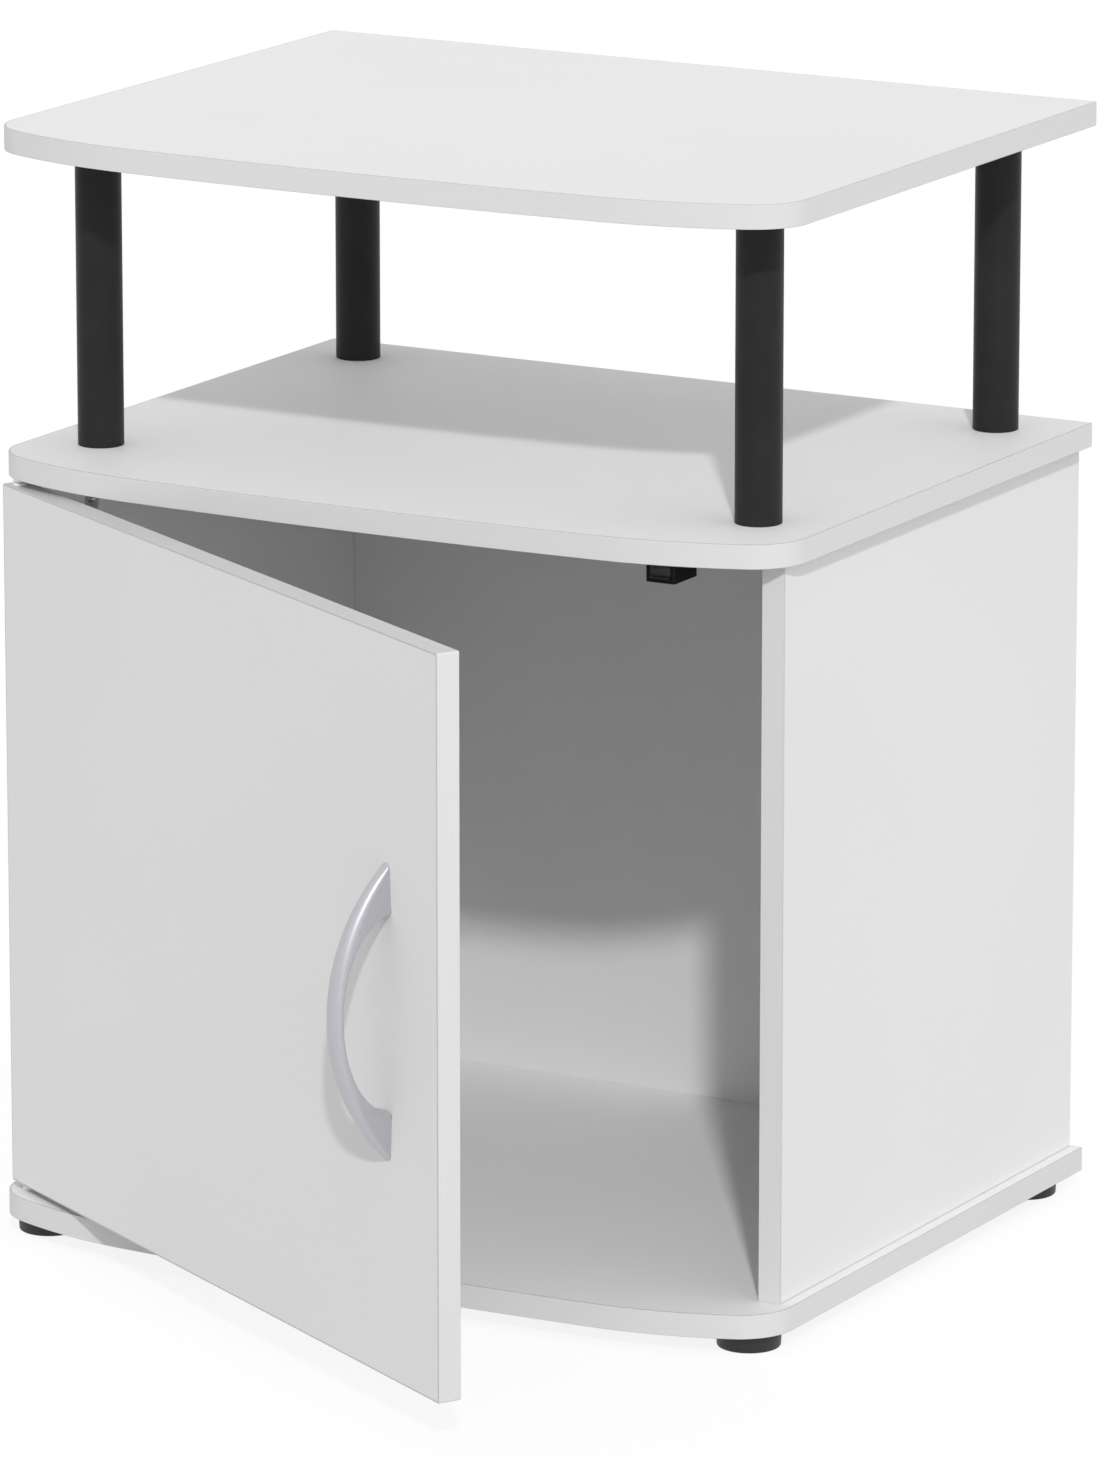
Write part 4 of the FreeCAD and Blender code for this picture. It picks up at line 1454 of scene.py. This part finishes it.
@dataclass
class BowHandle(SubAssembly):
    """Bow handle: a crowned rim arched from tip to tip, with an elliptical finger opening."""

    body: ClassVar[Body] = Body.DOOR
    half_length: float = 78 * MM
    half_width: float = 6 * MM
    tip_radius: float = 3.5 * MM
    projection: float = 34 * MM
    crown: float = 2.5 * MM
    crown_shares: tuple[float, ...] = (-1, -0.4, -0.2, 0, 0.2, 0.4, 1)
    half_opening: float = 51.75 * MM
    opening_depth: float = 28.2 * MM
    opening_setback: float = 2.7 * MM
    pad_radius: float = 2 * MM
    outer_radius: float = 3.0 * MM
    inner_radius: float = 0.9 * MM
    guard: float = 0.6 * MM
    inner_share: float = 0.25
    outer_share: float = 0.45
    thinnest: float = 0.001 * MM
    trim: float = 0.02 * MM
    weld: float = 0.004 * MM
    crease: float = 50
    hole_spacing: float = 128 * MM
    door_thickness: float = 13 * MM
    thread_reach: float = 7 * MM
    screw: ScrewSize = ScrewSize(4 * MM, 8 * MM, 2.6 * MM)
    opening_steps: int = 56
    corner_steps: int = 8
    tip_steps: int = 22

    def build(self) -> None:
        """Build and dress the handle and its screws."""
        mesh = bpy.data.meshes.new("bow_handle")
        sections = [self.section(height) for height in self.heights()]
        count = len(sections[0])
        faces = []
        for ring in range(0, (len(sections) - 1) * count, count):
            for index in range(count):
                after = (index + 1) % count
                faces.append((ring + index, ring + after, ring + count + after, ring + count + index))
        mesh.from_pydata([tuple(point) for section in sections for point in section], [], faces)
        with edited(mesh) as shape:
            bmesh.ops.remove_doubles(shape, verts=shape.verts, dist=self.weld)
            bmesh.ops.holes_fill(shape, edges=shape.edges)
        mesh.transform(self.place())
        host = linked("bow_handle_host", smooth_mesh(mesh, self.crease))
        flats = host.modifiers.new("clean flanks", "WEIGHTED_NORMAL")
        flats.keep_sharp = True
        self.hand_over("bow_handle", plain_mesh(host), "silver", "door_handle")
        self.screws()

    def place(self) -> Matrix:
        """The handle's rest place.

        Returns:
            Matrix from the handle's own frame, which sits on the shut door's face.
        """
        low, high = self.kit.door.shut_box("door_handle")
        seat = Vector(((low.x + high.x) / 2, high.y, (low.z + high.z) / 2))
        return self.kit.door.opened() @ Matrix.Translation(seat)

    def heights(self) -> list[float]:
        """Heights of the cross-sections.

        Returns:
            Heights from the lower tip to the upper, close together where the outline turns fast.
        """
        pad, quarter = self.pad_start(), math.pi / 2
        opening = [pad * math.sin(math.pi * (step / self.opening_steps - 0.5))
                   for step in range(self.opening_steps + 1)]
        end = [pad + self.pad_radius * (1 - math.cos(quarter * step / self.corner_steps))
               for step in range(1, self.corner_steps + 1)]
        start = end[-1]
        end += [start + (self.half_length - start) * math.sin(quarter * step / self.tip_steps)
                for step in range(1, self.tip_steps + 1)]
        return [-height for height in reversed(end)] + opening + end

    def ellipse(self) -> tuple[float, float]:
        """Semi-axes of the opening along the door and out from it; its middle lies behind the face."""
        reach = self.opening_depth + self.opening_setback
        return self.half_opening / math.sqrt(1 - (self.opening_setback / reach) ** 2), reach

    def pad_start(self) -> float:
        """Height where the ellipse gives way to the rounded inner corner of a pad."""
        along, reach = self.ellipse()
        return along * math.sqrt(1 - ((self.pad_radius + self.opening_setback) / reach) ** 2)

    def inner(self, z: float) -> float:
        """Distance of the inner face from the door.

        Args:
            z: Height above the handle's middle.

        Returns:
            The distance, zero where a pad sits on the door.
        """
        along, reach = self.ellipse()
        past = abs(z) - self.pad_start()
        if past <= 0:
            return reach * math.sqrt(1 - (z / along) ** 2) - self.opening_setback
        if past < self.pad_radius:
            return self.pad_radius - math.sqrt(self.pad_radius ** 2 - (self.pad_radius - past) ** 2)
        return 0.0

    def outer(self, x: float, z: float) -> float:
        """Distance of the crowned outer face from the door.

        Args:
            x: Distance beside the handle's middle line.
            z: Height above the handle's middle.

        Returns:
            The distance.
        """
        rim = (self.half_length ** 2 + self.projection ** 2) / (2 * self.projection)
        crown_radius = (self.half_width ** 2 + self.crown ** 2) / (2 * self.crown)
        radius = rim - crown_radius + math.sqrt(max(crown_radius ** 2 - x ** 2, 0.0))
        return math.sqrt(max(radius ** 2 - z ** 2, 0.0)) - (rim - self.projection)

    def half_width_at(self, z: float) -> float:
        """Half width of the handle, with long arcs at the sides and round tips.

        Args:
            z: Height above the handle's middle.

        Returns:
            The half width, less what would reach past the outer face.
        """
        straight = self.half_length - self.tip_radius
        waist = self.half_width - self.tip_radius
        side_radius = (straight ** 2 + waist ** 2) / (2 * waist)
        if abs(z) <= straight:
            width = self.half_width - side_radius + math.sqrt(side_radius ** 2 - z ** 2)
        else:
            width = math.sqrt(max(self.tip_radius ** 2 - (abs(z) - straight) ** 2, 0.0))
        while width > 0 and self.outer(width, z) < self.trim:
            width -= self.trim
        return max(width, 0.0)

    def section(self, z: float) -> list[Vector]:
        """Rounded cross-section at a height.

        Args:
            z: Height above the handle's middle.

        Returns:
            Points in the handle's own frame, where -Y leads away from the door.
        """
        width, inner = max(self.half_width_at(z), self.thinnest), self.inner(z)
        crown = [(width * share, max(self.outer(width * share, z), inner))
                 for share in self.crown_shares]
        inner_radius = max(min(self.inner_radius, inner), self.thinnest)
        top = crown[0][1]
        low = inner + min((top - inner) * self.inner_share, inner_radius + self.guard)
        high = top - min((top - inner) * self.outer_share, self.outer_radius + self.guard)
        corners = [(-width, inner), (-width, low), (-width, high), *crown, (width, high), (width, low),
                   (width, inner)]
        side = [inner_radius, 0.0, 0.0, self.outer_radius]
        outline = fixed_rounding(corners, side + [0.0] * (len(crown) - 2) + side[::-1])
        return [Vector((x, -y, z)) for x, y in outline]

    def screws(self) -> None:
        """Pan-head screws in the back of the door."""
        inward = -self.kit.door.outward()
        back = self.place().translation + inward * self.door_thickness
        places = [(back + UP * sign * self.hole_spacing / 2, inward) for sign in (-1, 1)]
        self.drive_in("handle_screws", self.screw, self.door_thickness + self.thread_reach, places,
                      segments=40)


def fixed_rounding(corners: Outline, radii: Sequence[float], steps: int = 5) -> Outline:
    """Round a closed section's corners with the same number of points whatever its size.

    Args:
        corners: Corner points.
        radii: Radius at each corner, zero for a corner that stays.
        steps: Segments of each rounding.

    Returns:
        The points of the rounded section.
    """
    most_of_shared_side, most_of_own_side = 0.48, 0.98
    result: list[Vector] = []
    points = [Vector(point) for point in corners]

    def towards(index: int, neighbour: int) -> Vector:
        """Where a corner's rounding ends on the side of a neighbour.

        Args:
            index: Number of the corner.
            neighbour: Number of the corner that it leads to.

        Returns:
            The point on the side between them.
        """
        side = points[neighbour] - points[index]
        share = most_of_shared_side if radii[neighbour] > 0 else most_of_own_side
        reach = min(radii[index], side.length * share)
        return points[index] + (side.normalized() * reach if side.length else side)

    for index, corner in enumerate(points):
        if radii[index] <= 0:
            result.append(corner)
            continue
        start, end = towards(index, index - 1), towards(index, (index + 1) % len(points))
        for share in (step / steps for step in range(steps + 1)):
            rest = 1 - share
            result.append(start * rest ** 2 + corner * 2 * share * rest + end * share ** 2)
    return [tuple(point) for point in result]


@dataclass
class MagneticCatch(SubAssembly):
    """Catch under the middle board: housing, magnet, pole plates and screws."""

    screw_spacing: float = 9 * MM
    screw_setback: float = 19 * MM
    bore_depth: float = 7 * MM
    screw: ScrewSize = ScrewSize(3 * MM, 5.6 * MM, 1.8 * MM)

    def build(self) -> None:
        """Build and dress the catch."""
        for node, maker, look, radius in (("catch_housing", "moulded", "catch", 0.35 * MM),
                                          ("catch_magnet", "block", "magnet", 0.2 * MM),
                                          ("catch_pole_plates", "pressed", "black steel", 0.2 * MM)):
            self.soften(f"{node}_{maker}", node, look, EdgeRounding(radius))
        low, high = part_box("catch_housing")
        seat = low.z + self.bore_depth
        middle, y = (low.x + high.x) / 2, low.y + self.screw_setback
        places = [(Vector((middle + side * self.screw_spacing / 2, y, seat)), DOWN) for side in (-1, 1)]
        self.drive_in("catch_screws", self.screw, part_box("catch_screws")[1].z - seat, places)


# ---------------------------------------------------------------- studio

@dataclass(frozen=True)
class SoftLamp:
    """Wide soft lamp far away: the way it lies, its apparent width and its strength."""

    name: str
    azimuth: float
    elevation: float
    width: float
    strength: float

    def hang(self) -> None:
        """Make the lamp; an azimuth of 0 is in front of the table and 90 on its right."""
        data = bpy.data.lights.new(self.name, "SUN")
        data.angle = math.radians(self.width)
        data.energy = self.strength * math.pi
        lamp = linked(self.name, data)
        lamp.rotation_mode = "QUATERNION"
        lamp.rotation_quaternion = direction(self.azimuth, self.elevation).to_track_quat("Z", "Y")


@dataclass
class Studio:
    """White floor, soft lamps and the camera."""

    aim: Vector = field(default_factory=lambda: Vector((0.0525, 0.0282, 0.2942)))
    azimuth: float = 29.392
    elevation: float = 13.673
    distance: float = 5.0
    lens: float = 230.6
    sensor: float = 36.0
    view_range: float = 200.0
    floor_side: float = 60.0
    floor_grey: float = 0.62
    shown_grey: float = 0.13
    shown_glow: float = 0.875
    ambient: float = 0.67
    lamps: tuple[SoftLamp, ...] = (
        SoftLamp("key lamp in front", 32.5, 36, 2.5, 0.49),
        SoftLamp("fill lamp on the right", 100, 15, 60, 0.12),
    )

    def build(self) -> None:
        """Set up the whole studio."""
        bpy.context.scene.view_settings.view_transform = "Standard"
        self.floor()
        self.world()
        for lamp in self.lamps:
            lamp.hang()
        self.camera()

    @staticmethod
    def open_bench(block: Material | bpy.types.World) -> NodeBench:
        """Empty a node tree and open a bench on it.

        Args:
            block: The material or world that has the tree.

        Returns:
            The bench.
        """
        block.use_nodes = True
        block.node_tree.nodes.clear()
        return NodeBench(block.node_tree)

    @staticmethod
    def seen(bench: NodeBench) -> Socket:
        """Socket that is 1 for rays that show the background itself.

        Args:
            bench: Bench of the tree to add to.

        Returns:
            The socket.
        """
        rays = bench.add("ShaderNodeLightPath").outputs
        mirrored = bench.math("MAXIMUM", rays["Is Glossy Ray"], rays["Is Transmission Ray"])
        return bench.math("MAXIMUM", rays["Is Camera Ray"], mirrored)

    def floor(self) -> None:
        """White floor that keeps a light shadow and can't be seen from below."""
        half = self.floor_side / 2
        mesh = bpy.data.meshes.new("studio_floor")
        mesh.from_pydata([(-half, -half, 0), (half, -half, 0), (half, half, 0), (-half, half, 0)], [],
                         [(0, 1, 2, 3)])
        material = bpy.data.materials.new("white studio floor")
        bench = self.open_bench(material)
        plain, shown = (bench.result("ShaderNodeBsdfDiffuse", {"Color": (grey, grey, grey, 1)})
                        for grey in (self.floor_grey, self.shown_grey))
        glow = bench.result("ShaderNodeEmission", {"Color": (1, 1, 1, 1), "Strength": self.shown_glow})
        shown = bench.result("ShaderNodeAddShader", {0: shown, 1: glow})
        surface = bench.result("ShaderNodeMixShader", {0: self.seen(bench), 1: plain, 2: shown})
        below = bench.add("ShaderNodeNewGeometry").outputs["Backfacing"]
        clear = bench.result("ShaderNodeBsdfTransparent")
        surface = bench.result("ShaderNodeMixShader", {0: below, 1: surface, 2: clear})
        bench.add("ShaderNodeOutputMaterial", {"Surface": surface})
        mesh.materials.append(material)
        linked("studio_floor", mesh)

    def world(self) -> None:
        """Even white surround, seen as pure white."""
        world = bpy.data.worlds.new("studio surround")
        bench = self.open_bench(world)
        strength = bench.sum(bench.product(self.seen(bench), 1.0 - self.ambient), self.ambient)
        light = bench.result("ShaderNodeBackground", {"Color": (1, 1, 1, 1), "Strength": strength})
        bench.add("ShaderNodeOutputWorld", {"Surface": light})
        bpy.context.scene.world = world

    def camera(self) -> None:
        """Long-lens camera to the front right, a little above the table."""
        data = bpy.data.cameras.new("studio camera")
        data.sensor_width = self.sensor
        data.lens = self.lens
        data.clip_end = self.view_range
        back = direction(self.azimuth, self.elevation)
        camera = linked("studio camera", data)
        camera.location = self.aim + back * self.distance
        camera.rotation_mode = "QUATERNION"
        camera.rotation_quaternion = (-back).to_track_quat("-Z", "Y")
        bpy.context.scene.camera = camera


def make_looks(door: DoorFrame) -> dict[str, Look]:
    """Every finish of the table.

    Args:
        door: The door's frame, whose outward way orients the door's melamine.

    Returns:
        Looks by a short name.
    """
    finishes = {
        "board": MelamineBoard(Slot.WHITE_BOARD, "white melamine board", UP),
        "panel": MelamineBoard(Slot.WHITE_BOARD, "white melamine panel", Vector((1, 0, 0))),
        "door": MelamineBoard(Slot.WHITE_BOARD, "white melamine door", door.outward()),
        "banding": EdgeBanding(Slot.WHITE_BAND, "white edge banding"),
        "back": ThinBackBoard(Slot.HARDBOARD, "lacquered fibreboard"),
        "coat": PowderCoat(Slot.CHARCOAL_TUBE, "charcoal powder coat"),
        "foot": MouldedPlastic(Slot.BLACK_FOOT, "black moulded foot", (0.009, 0.009, 0.0095),
                               (0.016, 0.016, 0.016)),
        "catch": MouldedPlastic(Slot.CATCH_BLACK, "black moulded catch", (0.006, 0.006, 0.0065),
                                (0.010, 0.010, 0.010), 0.32, 3600, 0.015 * MM, gloss=0.15),
        "nylon": MouldedPlastic(Slot.BLACK_NYLON, "black nylon", (0.012, 0.012, 0.012),
                                (0.02, 0.02, 0.02), 0.5),
        "white nylon": MouldedPlastic(Slot.WHITE_NYLON, "white nylon", (0.88, 0.88, 0.87),
                                      (0.84, 0.84, 0.83), 0.32, 2400, 0.01 * MM),
        "steel": BareMetal(Slot.PLATED_STEEL, "bright zinc plate", (0.66, 0.66, 0.67),
                           (0.56, 0.57, 0.60), 0.26),
        "bright steel": BareMetal(Slot.PLATED_STEEL, "frosted zinc plate", (0.86, 0.86, 0.87),
                                  (0.78, 0.78, 0.80), 0.4, metal=0.5),
        "black steel": BareMetal(Slot.BLACKENED_STEEL, "black oxide", (0.018, 0.018, 0.02),
                                 (0.012, 0.012, 0.013), 0.4, metal=0.3),
        "brass": BareMetal(Slot.INSERT_BRASS, "turned brass", (0.72, 0.54, 0.27),
                           (0.62, 0.45, 0.21), 0.3),
        "zinc": BareMetal(Slot.CAM_ZINC, "die-cast zinc", (0.52, 0.52, 0.53),
                          (0.42, 0.42, 0.44), 0.42, 900, 0.03 * MM),
        "magnet": BareMetal(Slot.MAGNET_DARK, "sintered magnet", (0.07, 0.07, 0.075),
                            (0.05, 0.05, 0.05), 0.55, 1200, 0.03 * MM, 0.6),
        "silver": SatinSilver(Slot.SATIN_HANDLE, "satin silver lacquer"),
        "beech": BareBeech(Slot.BEECH_DOWEL, "bare beech"),
    }
    return {name: Look(finish.make(), finish.slot) for name, finish in finishes.items()}


def main() -> None:
    """Build, dress and light the table."""
    logging.basicConfig(level=logging.INFO, format="%(name)s: %(message)s")
    door = DoorFrame()
    kit = Kit(door, make_looks(door))
    for assembly in (Boards, CabinetShell, TubeFrame, Feet, PivotHinge, DoorLeaf, BowHandle,
                     MagneticCatch):
        assembly(kit).build()
    Studio().build()


if __name__ == "__main__":
    main()
